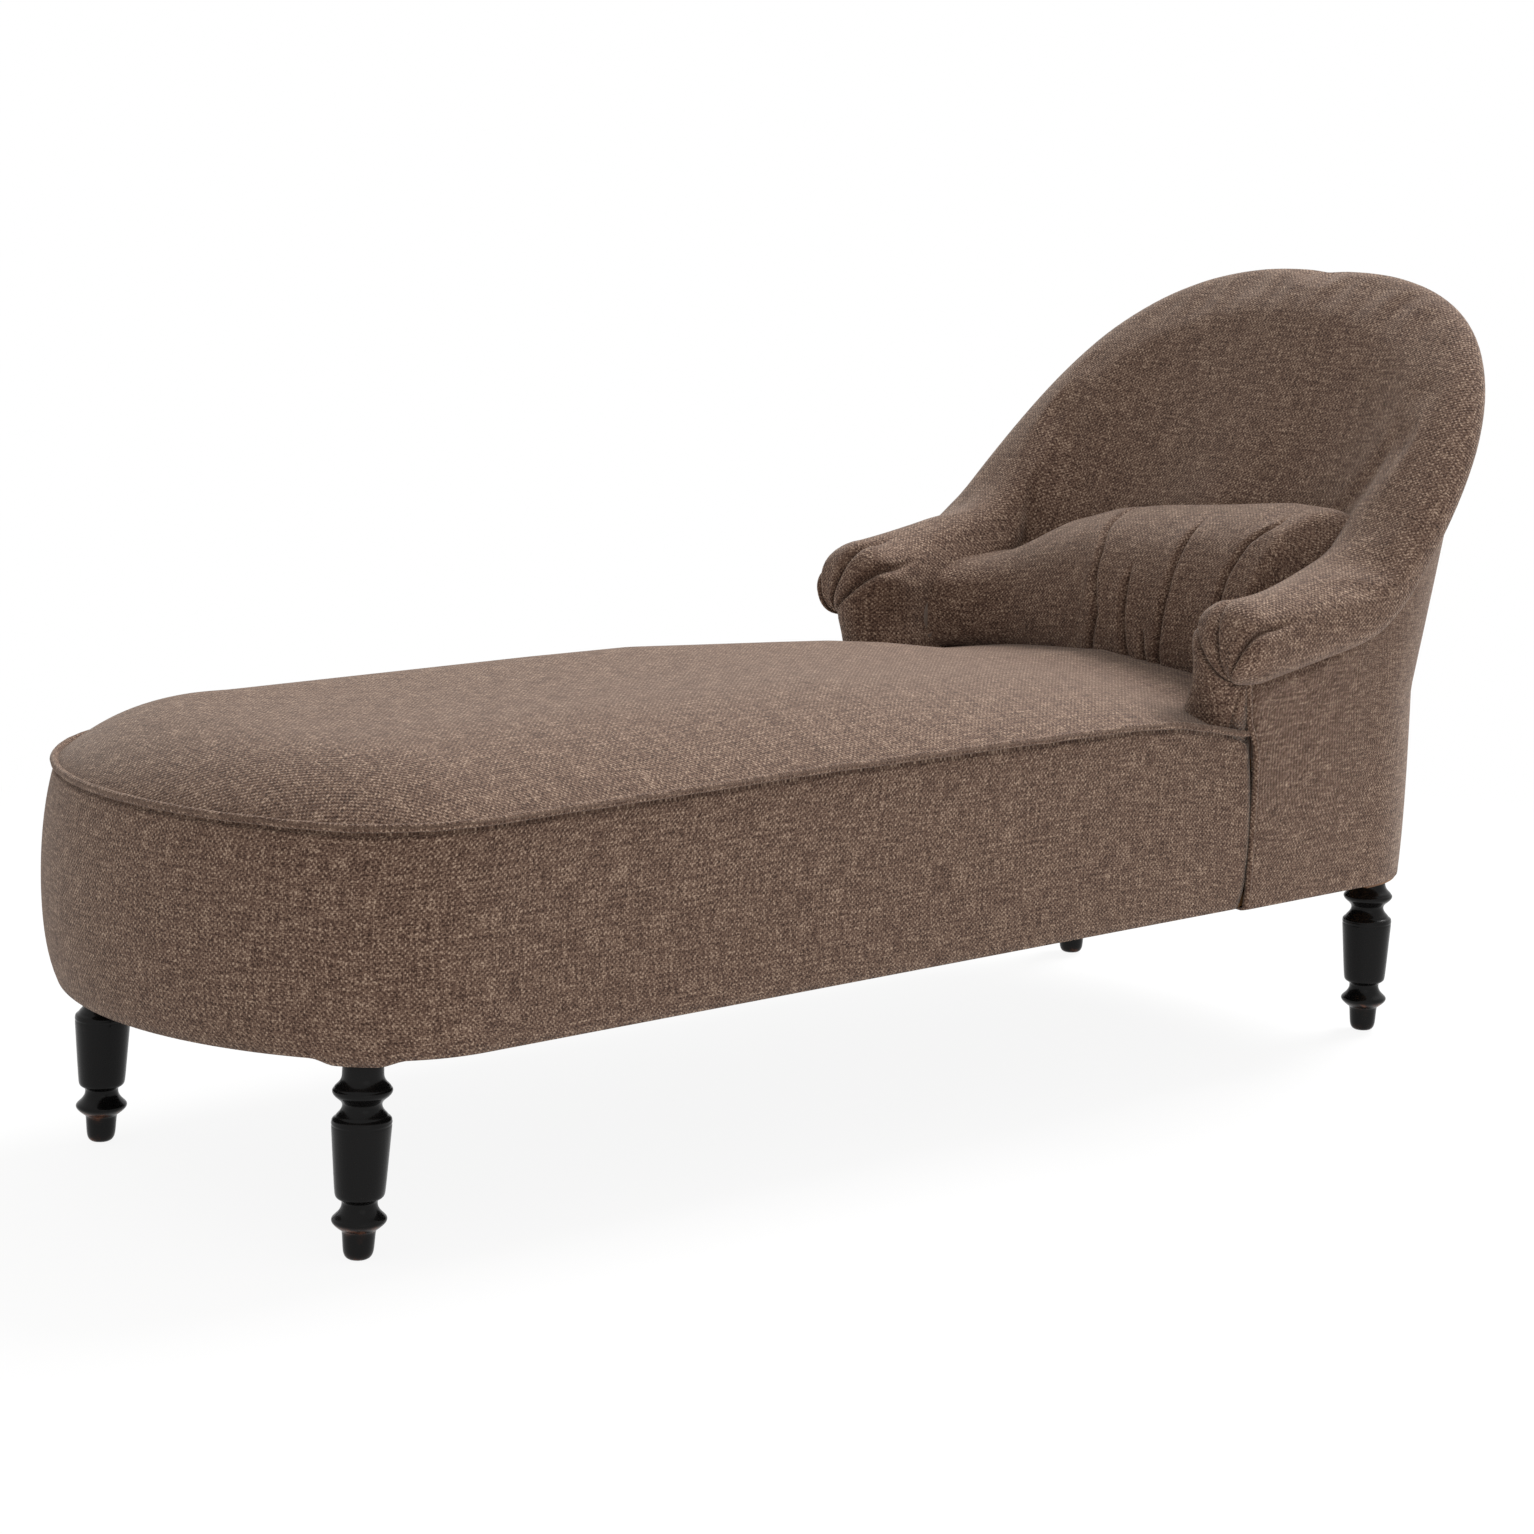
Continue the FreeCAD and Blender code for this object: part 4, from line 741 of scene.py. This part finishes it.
def arm_front(section, steps):
    """Rows that carry the arm's cover round its front to the piped seam."""
    count = len(section)
    start = np.column_stack([np.full(count, FRONT_X), section])
    target = np.tile(KNOT, (count, 1))
    target[:, 1:] = lerp(target[:, 1:], section, 0.04)
    hang = np.where(np.arange(count) < INSIDE + 4, np.clip((430 - section[:, 1]) / 60, 0, 1), 0.0)
    hung = np.column_stack([KNOT[0] + 9 * hang, KNOT[1] - 5 * hang - 3 * np.sin(np.pi * hang), section[:, 1]])
    target = lerp(target, hung, np.clip(6 * hang, 0, 1)[:, None])
    span = np.linalg.norm(start[:, 1:] - target[:, 1:], axis=1)
    depth = FRONT_DEPTH * ease(span / 60)
    rows = []
    for k in range(1, steps + 1):
        angle = math.pi * k / steps
        across = 0.5 - 0.5 * math.copysign(abs(math.cos(angle)) ** 0.82, math.cos(angle))
        row = lerp(start, target, across)
        row[:, 0] -= depth * math.sin(angle) ** 0.82
        rows.append(row)
    return rows[::-1]


def make_tub():
    """Arms and back as one run of sections, cut into three pieces; returns the points of the run."""
    xs = np.linspace(FRONT_X, TUB_X, ARM_STEPS)[:-1]
    turns = np.radians(np.linspace(90, -90, TUB_STEPS))
    left = [np.column_stack([np.full(INSIDE + ROUND + UNDER, x), arm_section(x)]) for x in xs]
    left = arm_front(arm_section(xs[0]), FRONT_STEPS) + left
    middle = []
    for turn in turns:
        section = tub_section(turn)
        middle.append(np.column_stack([
            TUB_X + section[:, 0] * math.cos(turn), section[:, 0] * math.sin(turn), section[:, 1]]))
    right = [row * (1, -1, 1) for row in left[::-1]]
    points = np.stack(left + middle + right)
    rows = len(points)
    # The run is blended where arm and back meet, so that no crease shows
    join = len(left)
    for step in range(10):
        for centre in (join, rows - 1 - join):
            a, b = centre - 12, centre + 13
            mean = (points[a - 1:b - 1] + points[a + 1:b + 1]) / 2
            weight = bump(np.linspace(-1.6, 1.6, b - a))[:, None, None]
            points[a:b] = lerp(points[a:b], mean, 0.8 * weight)
    held = np.zeros(points.shape[:2])
    held[:, :2] = 1
    held[:, -4:] = 1
    held[0] = held[-1] = 1
    points = swell(points, held, pressure=2.0, cap=6.0)
    points = front_pleats(points)
    cut = FRONT_STEPS + ARM_STEPS - 1
    whole = grid_normals(points)
    pieces = (("arm_left", 0, cut + 1, "arm_pad_left"), ("back", cut, rows - cut, "back_pad"),
              ("arm_right", rows - 1 - cut, rows, "arm_pad_right"))
    for name, a, b, node in pieces:
        item = grid_piece(name, points[a:b], None, (0, 0, 1), wrap=True, caps=True)
        set_normals(item, whole[a:b], ([0] if a else []) + ([b - a - 1] if b < rows else []))
        dress(item, FABRIC, (node,))
    return points


def inner_face(points):
    """Function for the distance from the middle to the inside of the left arm, at x and a height."""
    tree = BVHTree.FromPolygons(points.reshape(-1, 3).tolist(), grid_faces(*points.shape[:2]))

    def reach(x, z):
        hit = tree.ray_cast((x, 0.0, z), (0.0, 1.0, 0.0))[0]
        return INNER_HALF if hit is None else hit.y

    return reach


def grid_normals(points):
    """Direction square to a grid at each of its points."""
    across = np.gradient(points, axis=0)
    along = np.gradient(points, axis=1)
    normal = np.cross(along, across)
    length = np.maximum(np.linalg.norm(normal, axis=2, keepdims=True), 1e-9)
    return normal / length


def set_normals(item, normals, shared):
    """Shade the rows at which the cover was cut as one run with its neighbour."""
    mesh = item.data
    flat = normals.reshape(-1, 3)
    cols = normals.shape[1]
    place = np.empty(len(mesh.vertices), int)
    mesh.attributes["place"].data.foreach_get("value", place)
    own = np.empty(len(mesh.vertices) * 3)
    mesh.vertices.foreach_get("normal", own)
    own = own.reshape(-1, 3)
    # Rows at the cut take the direction of the whole cover, turned the way the piece looks
    if np.sum(own * flat[place]) < 0:
        flat = -flat
    column = place % cols
    use = np.isin(place // cols, shared) & (column > 1) & (column < cols - 3)
    own[use] = flat[place[use]]
    mesh.normals_split_custom_set_from_vertices(own.tolist())


def fold(away, deep, narrow, swollen, wide):
    """Depth across one pleat: a sharp line between two soft swellings."""
    return deep * np.exp(-np.abs(away) / narrow) - swollen * np.exp(-np.abs(away) / wide)


def front_pleats(points):
    """Folds on the arm fronts that gather at the top of the piped seam."""
    moved = points.copy()
    reach = FRONT_STEPS + 5
    columns = np.arange(points.shape[1])
    normals = grid_normals(points)
    for k in range(reach):
        fade = ease((reach - k) / 9.0) * ease((k + 1) / 6.0)
        for angle, deep in FRONT_PLEATS:
            away = columns - INSIDE - (FRONT_ARC[0] - angle) / (FRONT_ARC[0] - FRONT_ARC[1]) * (ROUND - 1)
            for i in (k, len(points) - 1 - k):
                depth = fold(away, deep, narrow=1.25, swollen=4.5, wide=5.0)
                moved[i] += normals[i] * (depth * fade)[:, None]
    return moved


# Lumbar roll with the pleats pulled down to the seat

LUMBAR_LOW = 398.0   # height of the foot of the roll
LUMBAR_POINTS = 72   # points of a slice
FAR_SHARE = 0.60     # share of the half width from which the roll runs over on to the left arm
TUCK = (556.0, 498.0)  # x and height of the tuck in which it ends there
# Slices as (share of the depth, share of the height): in the middle, at the right end and on the left arm
ROLL_FORM = [(0.14, -0.05), (0.03, 0.07), (0.0, 0.24), (0.03, 0.46), (0.13, 0.66),
             (0.36, 0.87), (0.68, 0.985), (0.93, 1.0), (1.02, 0.96), (1.06, 0.84)]
END_FORM = [(0.06, -0.08), (0.0, 0.0), (0.08, 0.10), (0.26, 0.24), (0.50, 0.37),
            (0.70, 0.50), (0.86, 0.70), (0.96, 0.90), (1.02, 0.96), (1.06, 0.84)]
FAR_FORM = [(0.10, -0.05), (0.02, 0.05), (0.0, 0.24), (0.03, 0.50), (0.11, 0.74),
            (0.32, 0.93), (0.64, 1.0), (0.92, 1.0), (1.02, 0.96), (1.06, 0.84)]
# Pleats as lines of (y, height)
LUMBAR_PLEATS = [((58, 556), (36, 521), (15, 453), (28, 392)), ((-23, 500), (-27, 449), (-36, 392)),
                 ((-84, 552), (-87, 490), (-81, 429), (-78, 392)), ((-58, 436), (-61, 392)),
                 ((-196, 568), (-176, 546), (-168, 512), (-165, 470))]


def lumbar_fold(y):
    """Height of the fold between the lumbar roll and the back; it sinks to a tuck at the left arm."""
    return np.interp(y, [-262, -218, -163, -60, 20, 90, 150, 191, 210, 222, 250],
                     [574, 582, 583, 571, 564, 554, 537, 516, 501, 489, 468])


def lumbar_slice(s):
    """Slice of the roll at a share of its half width, which is positive to the left."""
    side = min(abs(s), 0.9999)
    front_x = 400 + 47 * (1 - side ** 4.5) ** (1 / 4.5)
    front_y, back_y = 238.0 * s, (250.0 if s > 0 else 262.0) * s
    power = 3 if s > 0 else 12
    back_x = TUB_X + 60 * (1 - side ** power) ** (1 / power)
    tall = lumbar_fold(back_y) - LUMBAR_LOW
    along, up = lerp(np.array(ROLL_FORM), np.array(END_FORM), ease((-s - 0.86) / 0.14)).T
    line = [lerp(front_x, back_x, along), lerp(front_y, back_y, along), LUMBAR_LOW + tall * up]
    return spline(np.stack(line, axis=1), LUMBAR_POINTS)


def far_slices(shares, face):
    """Left end of the roll: a smooth run from its last full slice on to the inside of the arm."""
    first = lumbar_slice(FAR_SHARE)
    lead = (lumbar_slice(FAR_SHARE + 0.01) - lumbar_slice(FAR_SHARE - 0.01)) / 0.02 * (1 - FAR_SHARE)
    along, up = np.array(FAR_FORM).T
    flat = np.stack([lerp(380.0, TUCK[0], along), lerp(LUMBAR_LOW, TUCK[1], up)], axis=1)
    flat = spline(flat, LUMBAR_POINTS)
    # Where each line comes to lie 1.5 mm inside the arm's face, and the way in which it gets there
    spots = np.linspace(0, 1, LUMBAR_POINTS)
    marks = [0, 0.35, 0.55, 0.8, 1]
    forward = np.interp(spots, marks, [-90, -90, -55, -30, -15])
    upward = np.interp(spots, marks, [0, 10, 45, 30, -15])
    step = flat + 0.1 * np.stack([forward, upward], axis=1)
    last, ahead = [np.array([(x, face(x, z) + 1.5, z) for x, z in line]) for line in (flat, step)]
    close = (ahead - last) * 10
    sections = []
    for s in shares:
        u = (s - FAR_SHARE) / (1 - FAR_SHARE)
        sections.append(first * (1 + 2 * u) * (1 - u) ** 2 + lead * u * (1 - u) ** 2
                        + last * u * u * (3 - 2 * u) + close * u * u * (u - 1))
    return sections


def make_lumbar(face):
    """Roll in slices from the left arm to the right; face gives the inside of the left arm."""
    shares = np.linspace(1, -1, 401)
    far = shares > FAR_SHARE
    sections = far_slices(shares[far], face) + [lumbar_slice(s) for s in shares[~far]]
    points = np.stack(sections)
    for step in range(6):
        points[1:-1] = lerp(points[1:-1], (points[:-2] + points[2:]) / 2, 0.6)
    depth = np.zeros(points.shape[:2])
    held = np.zeros(points.shape[:2])
    y, z = points[..., 1], points[..., 2]
    for line in LUMBAR_PLEATS:
        line = np.array(line, float)[::-1]
        middle = np.interp(z, line[:, 1], line[:, 0])
        inside = ease((line[-1, 1] + 12 - z) / 24) * ease((z - line[0, 1] + 12) / 10)
        away = (y - middle) * 0.86
        depth += inside * fold(away, deep=13.0, narrow=2.2, swollen=4.0, wide=15.0)
        held = np.maximum(held, inside * bump(away / 4.0))
    held[:, :3] = held[:, -5:] = 1
    held[:6] = held[-6:] = 1
    held = np.maximum(held, ease((shares - FAR_SHARE) / 0.25)[:, None])
    points = swell(points, held, pressure=2.5, cap=6.0)
    normals = grid_normals(points)
    facing = np.sign(np.sum(normals * np.array([-1.0, 0, 0.4]), axis=2, keepdims=True).mean())
    points = points - normals * facing * depth[..., None]
    uv = np.stack([run_lengths(points, 0, 200), run_lengths(points, 1, 40)], axis=2)
    item = grid_piece("lumbar_roll", points, uv, (-1, 0, 0), wrap=True, caps=True)
    return dress(item, FABRIC, ("lumbar_pad",))


# Outside cover round the back and under the arms

WING_TUCK = 8.0      # how much higher the cover is tucked in where arm and back meet
COVER_SHARES = np.concatenate([np.linspace(0, 0.92, 40), np.linspace(0.93, 1, 8)])


def panel_edge(x):
    """Lower edge of the outside cover: it has ridden up a little behind the head legs."""
    return np.interp(x, [350, 640, 652, 690, 702], [185, 186, 192, 192, 187])


def cover_swell(share):
    """How far the outside cover stands out at a share of its height; it is drawn in under the rolls."""
    return 2.0 * np.sin(np.pi * share) - 4 * (1 - share) ** 8 - 4.5 * ease((share - 0.93) / 0.06)


def arm_cover(x, sign):
    """Upright line of the cover under an arm, and the way inward from it."""
    top = arm_seam(x) + 2 + WING_TUCK * bump((x - TUB_X) / 28)
    z = lerp(panel_edge(x), top, COVER_SHARES)
    half = wall_outline(z)[0] + cover_swell(COVER_SHARES)
    front = 1 - ease((x - SEAM_X) / 12)
    return np.column_stack([x - 10 * front * ease((z - 370) / 12), sign * (half - front), z]), (0.0, -sign)


def back_cover(turn):
    """Upright line of the cover in one direction from the tub axis, and the way inward from it."""
    along, across = math.cos(turn), math.sin(turn)
    low = panel_edge(TUB_X + wall_reach(turn, 200) * along)
    top = seam_height(turn) + 2 + WING_TUCK * bump((abs(turn) - math.pi / 2) / 0.12)
    z = lerp(low, top, COVER_SHARES)
    reach = np.array([wall_reach(turn, level) for level in z]) + cover_swell(COVER_SHARES)
    return np.column_stack([TUB_X + reach * along, reach * across, z]), (-along, -across)


def make_outside():
    """Cover in upright lines from the left arm round the back to the right arm, with a turned-in hem."""
    xs = np.linspace(SEAM_X + 1, TUB_X, 20)[:-1]
    lines = [arm_cover(x, 1) for x in xs]
    lines += [back_cover(turn) for turn in np.radians(np.linspace(90, -90, 110))]
    lines += [arm_cover(x, -1) for x in xs[::-1]]
    rows = []
    for line, inward in lines:
        hem = [line[0] + (inward[0] * more, inward[1] * more, lift)
               for more, lift in ((24, 0.8), (12, -0.4), (4, -0.8))]
        rows.append(np.vstack([hem, line]))
    points = np.stack(rows)
    uv = np.stack([run_lengths(points, 0, len(rows) // 2), run_lengths(points, 1, 3)], axis=2)
    item = grid_piece("outside_panels", points, uv, (1, 0, 0), thin=3.0)
    return dress(item, FABRIC, ("outside_cover",))


# Leg blocks and turned legs

BLOCK_LOW = {"foot": 189.5, "head": 183.0}  # lower ends of the blocks
LEG_SPOT = {"foot": (-682.8, 227.5, 0.041), "head": (637.0, 230.0, 0.0)}  # x, y, lean per height
# Edges of a leg that are rubbed, as (amount, height, half width)
LEG_WEAR = ((0.62, 31.5, 3.5), (0.4, 26.5, 2.5), (0.5, 3.0, 5.0), (0.2, 125.0, 3.0))
# Half section of a leg as (radius, height), from the toe to the tenon
LEG_LINE = [(0.1, 0), (7.6, 0), (11.2, 1.6), (13.2, 5.2), (14.0, 10), (14.8, 25), (15.4, 26.6),
            (18.2, 28.4), (21.4, 31.0), (23.9, 33.6), (24.7, 35.6), (24.5, 37.2), (23.0, 38.9),
            (20.2, 41.4), (17.6, 44.4), (15.8, 48.4), (15.8, 52.2), (16.8, 54.2), (20.6, 56.0),
            (22.0, 58.0), (22.6, 62), (24.6, 90), (26.5, 118), (26.7, 120.8), (26.1, 121.6),
            (26.8, 122.6), (26.8, 124.2), (26.3, 125.0), (26.7, 126.0), (25.2, 127.6), (23.2, 128.8),
            (22.8, 130.2), (21.4, 131.4), (19.0, 134.2), (17.4, 137.6), (17.4, 141), (20.4, 144.6),
            (24.6, 147.6), (26.5, 150.4), (26.7, 152.4), (26.0, 153.6), (25.0, 154.4), (24.9, 155.4),
            (22.6, 157.4), (20.2, 160), (18.6, 163.6), (18.2, 166.5), (18.4, 192), (0.1, 192)]
LEG_TURNS = 56       # points round a leg


def make_block(node, low):
    """Copy of a block that ends at a height, so that the turned top of its leg shows below it."""
    bm = bmesh.new()
    bm.from_mesh(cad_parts[node].data)
    bmesh.ops.remove_doubles(bm, verts=bm.verts, dist=1e-6)
    everything = list(bm.verts) + list(bm.edges) + list(bm.faces)
    bmesh.ops.bisect_plane(bm, geom=everything, dist=1e-6, plane_co=(0, 0, low * MM),
                           plane_no=(0, 0, 1), clear_inner=True)
    cut = [edge for edge in bm.edges if edge.is_boundary]
    bmesh.ops.triangle_fill(bm, use_beauty=True, edges=cut, normal=(0, 0, -1))
    mesh = bpy.data.meshes.new("cut_" + node)
    bm.to_mesh(mesh)
    bm.free()
    return dress(new_object("cut_" + node, mesh), BEECH, (node,))


def make_leg(name, x, y, lean):
    """Leg turned from its half section, with the wear of its edges as an attribute."""
    bm = bmesh.new()
    wear = bm.verts.layers.float.new("wear")
    rings = []
    for radius, z in LEG_LINE:
        rub = sum(amount * bump((z - height) / half) for amount, height, half in LEG_WEAR)
        row = []
        for a in 2 * math.pi * np.arange(LEG_TURNS) / LEG_TURNS:
            spot = np.array([x + radius * math.cos(a) + lean * z, y + radius * math.sin(a), z])
            row.append(bm.verts.new(spot * MM))
            row[-1][wear] = 0.35 + rub
        rings.append(row)
    for low, high in zip(rings, rings[1:]):
        for k in range(LEG_TURNS):
            n = (k + 1) % LEG_TURNS
            bm.faces.new((low[k], low[n], high[n], high[k]))
    bm.faces.new(rings[0][::-1])
    bm.faces.new(rings[-1])
    item = finish_mesh("turned_" + name, bm, (0, 0, 1))
    smooth = item.modifiers.new("turned smooth", "SUBSURF")
    smooth.levels = smooth.render_levels = 1
    return dress(item, EBONY, (name,))


# Dust cloth stretched under the frame

FOOT_TURN_IN = 24.0  # how far the cloth lies inside the covers at the foot and at the head
HEAD_TURN_IN = 22.0
CLOTH_Z = 185.4      # height of its edge
CLOTH_SAG = 5.0      # how far its middle hangs lower


def make_dust_cloth():
    """One sheet in rows across the frame, from the round foot end to the round head end."""
    front = foot_line(FOOT_TURN_IN, 60)
    rear = end_line(WALL_HALF - HEAD_TURN_IN, WALL_DEPTH - HEAD_TURN_IN, WALL_CORNER - HEAD_TURN_IN,
                    WALL_X, 1, 60)
    xs = np.concatenate([np.linspace(front[30, 0] + 1, FOOT_X, 26), np.linspace(FOOT_X, WALL_X, 60)[1:],
                         np.linspace(WALL_X, rear[30, 0] - 1, 20)[1:]])
    half = np.full(len(xs), SIDE - FOOT_TURN_IN)
    at_foot, at_head = xs < FOOT_X, xs > WALL_X
    half[at_foot] = np.interp(xs[at_foot], front[29::-1, 0], front[29::-1, 1])
    half[at_head] = np.interp(-xs[at_head], -rear[29::-1, 0], rear[29::-1, 1])
    half = np.maximum(half, 20.0)
    across = np.linspace(1, -1, 40)
    sag = CLOTH_SAG * (1 - across[None, :] ** 2) * (1 - ((xs[:, None] + 20) / 790) ** 2)
    points = np.stack([np.repeat(xs[:, None], 40, axis=1), half[:, None] * across, CLOTH_Z - sag], axis=2)
    item = grid_piece("bottom_cambric", points, points[..., :2], (0, 0, -1))
    dress(item, CAMBRIC, ("dust_cloth",))
    return item


make_seat_top()
make_border()
make_seat_welt()
make_lumbar(inner_face(make_tub()))
make_outside()
for side, sign in (("left", 1), ("right", -1)):
    make_seam_piping(side, sign)
    for end in ("foot", "head"):
        x, y, lean = LEG_SPOT[end]
        make_leg("leg_" + end + "_" + side, x, sign * y, lean)
    for end in ("head", "foot"):
        make_block(end + "_block_" + side, BLOCK_LOW[end])
make_dust_cloth()

# Finishes of the solids that stay as they are
for name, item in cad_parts.items():
    finish = BEECH
    if "webbing" in name or "twine" in name or "hessian" in name:
        finish = JUTE
    elif "spring" in name:
        finish = STEEL
    item.data.materials.clear()
    item.data.materials.append(finish)

# Floor, light and camera


def make_floor():
    """White floor that fades to pure white away from the part and keeps its soft shadow."""
    bm = bmesh.new()
    bmesh.ops.create_grid(bm, x_segments=2, y_segments=2, size=30)
    item = finish_mesh("floor", bm, (0, 0, 1))
    material, tree = new_material("white_studio_floor")
    path = add(tree, "ShaderNodeLightPath")
    seen = add(tree, "ShaderNodeMath", {0: path.outputs["Is Camera Ray"], 1: path.outputs["Is Glossy Ray"]},
               operation="MAXIMUM")
    place = add(tree, "ShaderNodeTexCoord").outputs["Object"]
    away = add(tree, "ShaderNodeVectorMath", {0: place}, operation="LENGTH").outputs["Value"]
    share = add(tree, "ShaderNodeMapRange", {0: away, 1: 0.9, 2: 1.9, 3: 0.9, 4: 1.0})
    part = add(tree, "ShaderNodeMath", {0: seen, 1: share}, operation="MULTIPLY")
    paint = add(tree, "ShaderNodeBsdfDiffuse", {"Color": linear("#f4f4f4")})
    glow = add(tree, "ShaderNodeEmission", {"Color": (1, 1, 1, 1), "Strength": 1.0})
    both = add(tree, "ShaderNodeMixShader", {0: part, 1: paint, 2: glow})
    add(tree, "ShaderNodeOutputMaterial", {0: both})
    item.data.materials.append(material)


def make_world():
    """Soft white light from all round; what the camera sees is pure white."""
    world = bpy.data.worlds.new("studio")
    bpy.context.scene.world = world
    world.use_nodes = True
    tree = world.node_tree
    tree.nodes.clear()
    path = add(tree, "ShaderNodeLightPath")
    seen = add(tree, "ShaderNodeMath", {0: path.outputs["Is Camera Ray"], 1: path.outputs["Is Glossy Ray"]},
               operation="MAXIMUM")
    seen = add(tree, "ShaderNodeMath", {0: seen, 1: path.outputs["Is Transmission Ray"]},
               operation="MAXIMUM")
    soft = add(tree, "ShaderNodeBackground", {"Color": linear("#fbfaf8"), "Strength": 0.82})
    white = add(tree, "ShaderNodeBackground", {"Color": (1, 1, 1, 1), "Strength": 1.0})
    both = add(tree, "ShaderNodeMixShader", {0: seen, 1: soft, 2: white})
    add(tree, "ShaderNodeOutputWorld", {"Surface": both})


def make_lamp(name, place, aim, wide, power):
    """Round soft lamp; its width is in metres and its power in watts."""
    lamp = bpy.data.lights.new(name, "AREA")
    lamp.shape = "DISK"
    lamp.size = wide
    lamp.energy = power
    item = new_object(name, lamp)
    item.location = place
    item.rotation_euler = (Vector(aim) - Vector(place)).to_track_quat("-Z", "Y").to_euler()


CAMERA_PLACE = (-2.31583, -2.74443, 0.99319)  # in metres
FRAME_PIXELS = 1534.0  # width of the photograph
FOCAL_PIXELS = 3549.0  # focal length worked out from it


def make_camera():
    """Camera of the photograph, worked out from the legs and the seat's edges."""
    yaw, pitch, roll = math.radians(50.27), math.radians(10.47), math.radians(0.73)
    ahead = Vector((math.cos(pitch) * math.cos(yaw), math.cos(pitch) * math.sin(yaw), -math.sin(pitch)))
    right = Vector((math.sin(yaw), -math.cos(yaw), 0))
    up = right.cross(ahead)
    across = right * math.cos(roll) + up * math.sin(roll)
    upright = up * math.cos(roll) - right * math.sin(roll)
    lens = bpy.data.cameras.new("camera")
    lens.sensor_fit = "HORIZONTAL"
    lens.sensor_width = 36.0
    lens.lens = lens.sensor_width * FOCAL_PIXELS / FRAME_PIXELS
    item = new_object("camera", lens)
    turn = Matrix((across, upright, -ahead)).transposed()
    item.matrix_world = Matrix.Translation(CAMERA_PLACE) @ turn.to_4x4()
    bpy.context.scene.camera = item


make_floor()
make_world()
make_lamp("key", (5.2, 0.6, 6.3), (-0.2, 0.0, 0.4), 4.0, 850)
make_lamp("fill", (-1.6, -4.0, 1.8), (-0.2, 0.0, 0.3), 2.6, 6)
make_camera()
bpy.context.scene.view_settings.view_transform = "Standard"
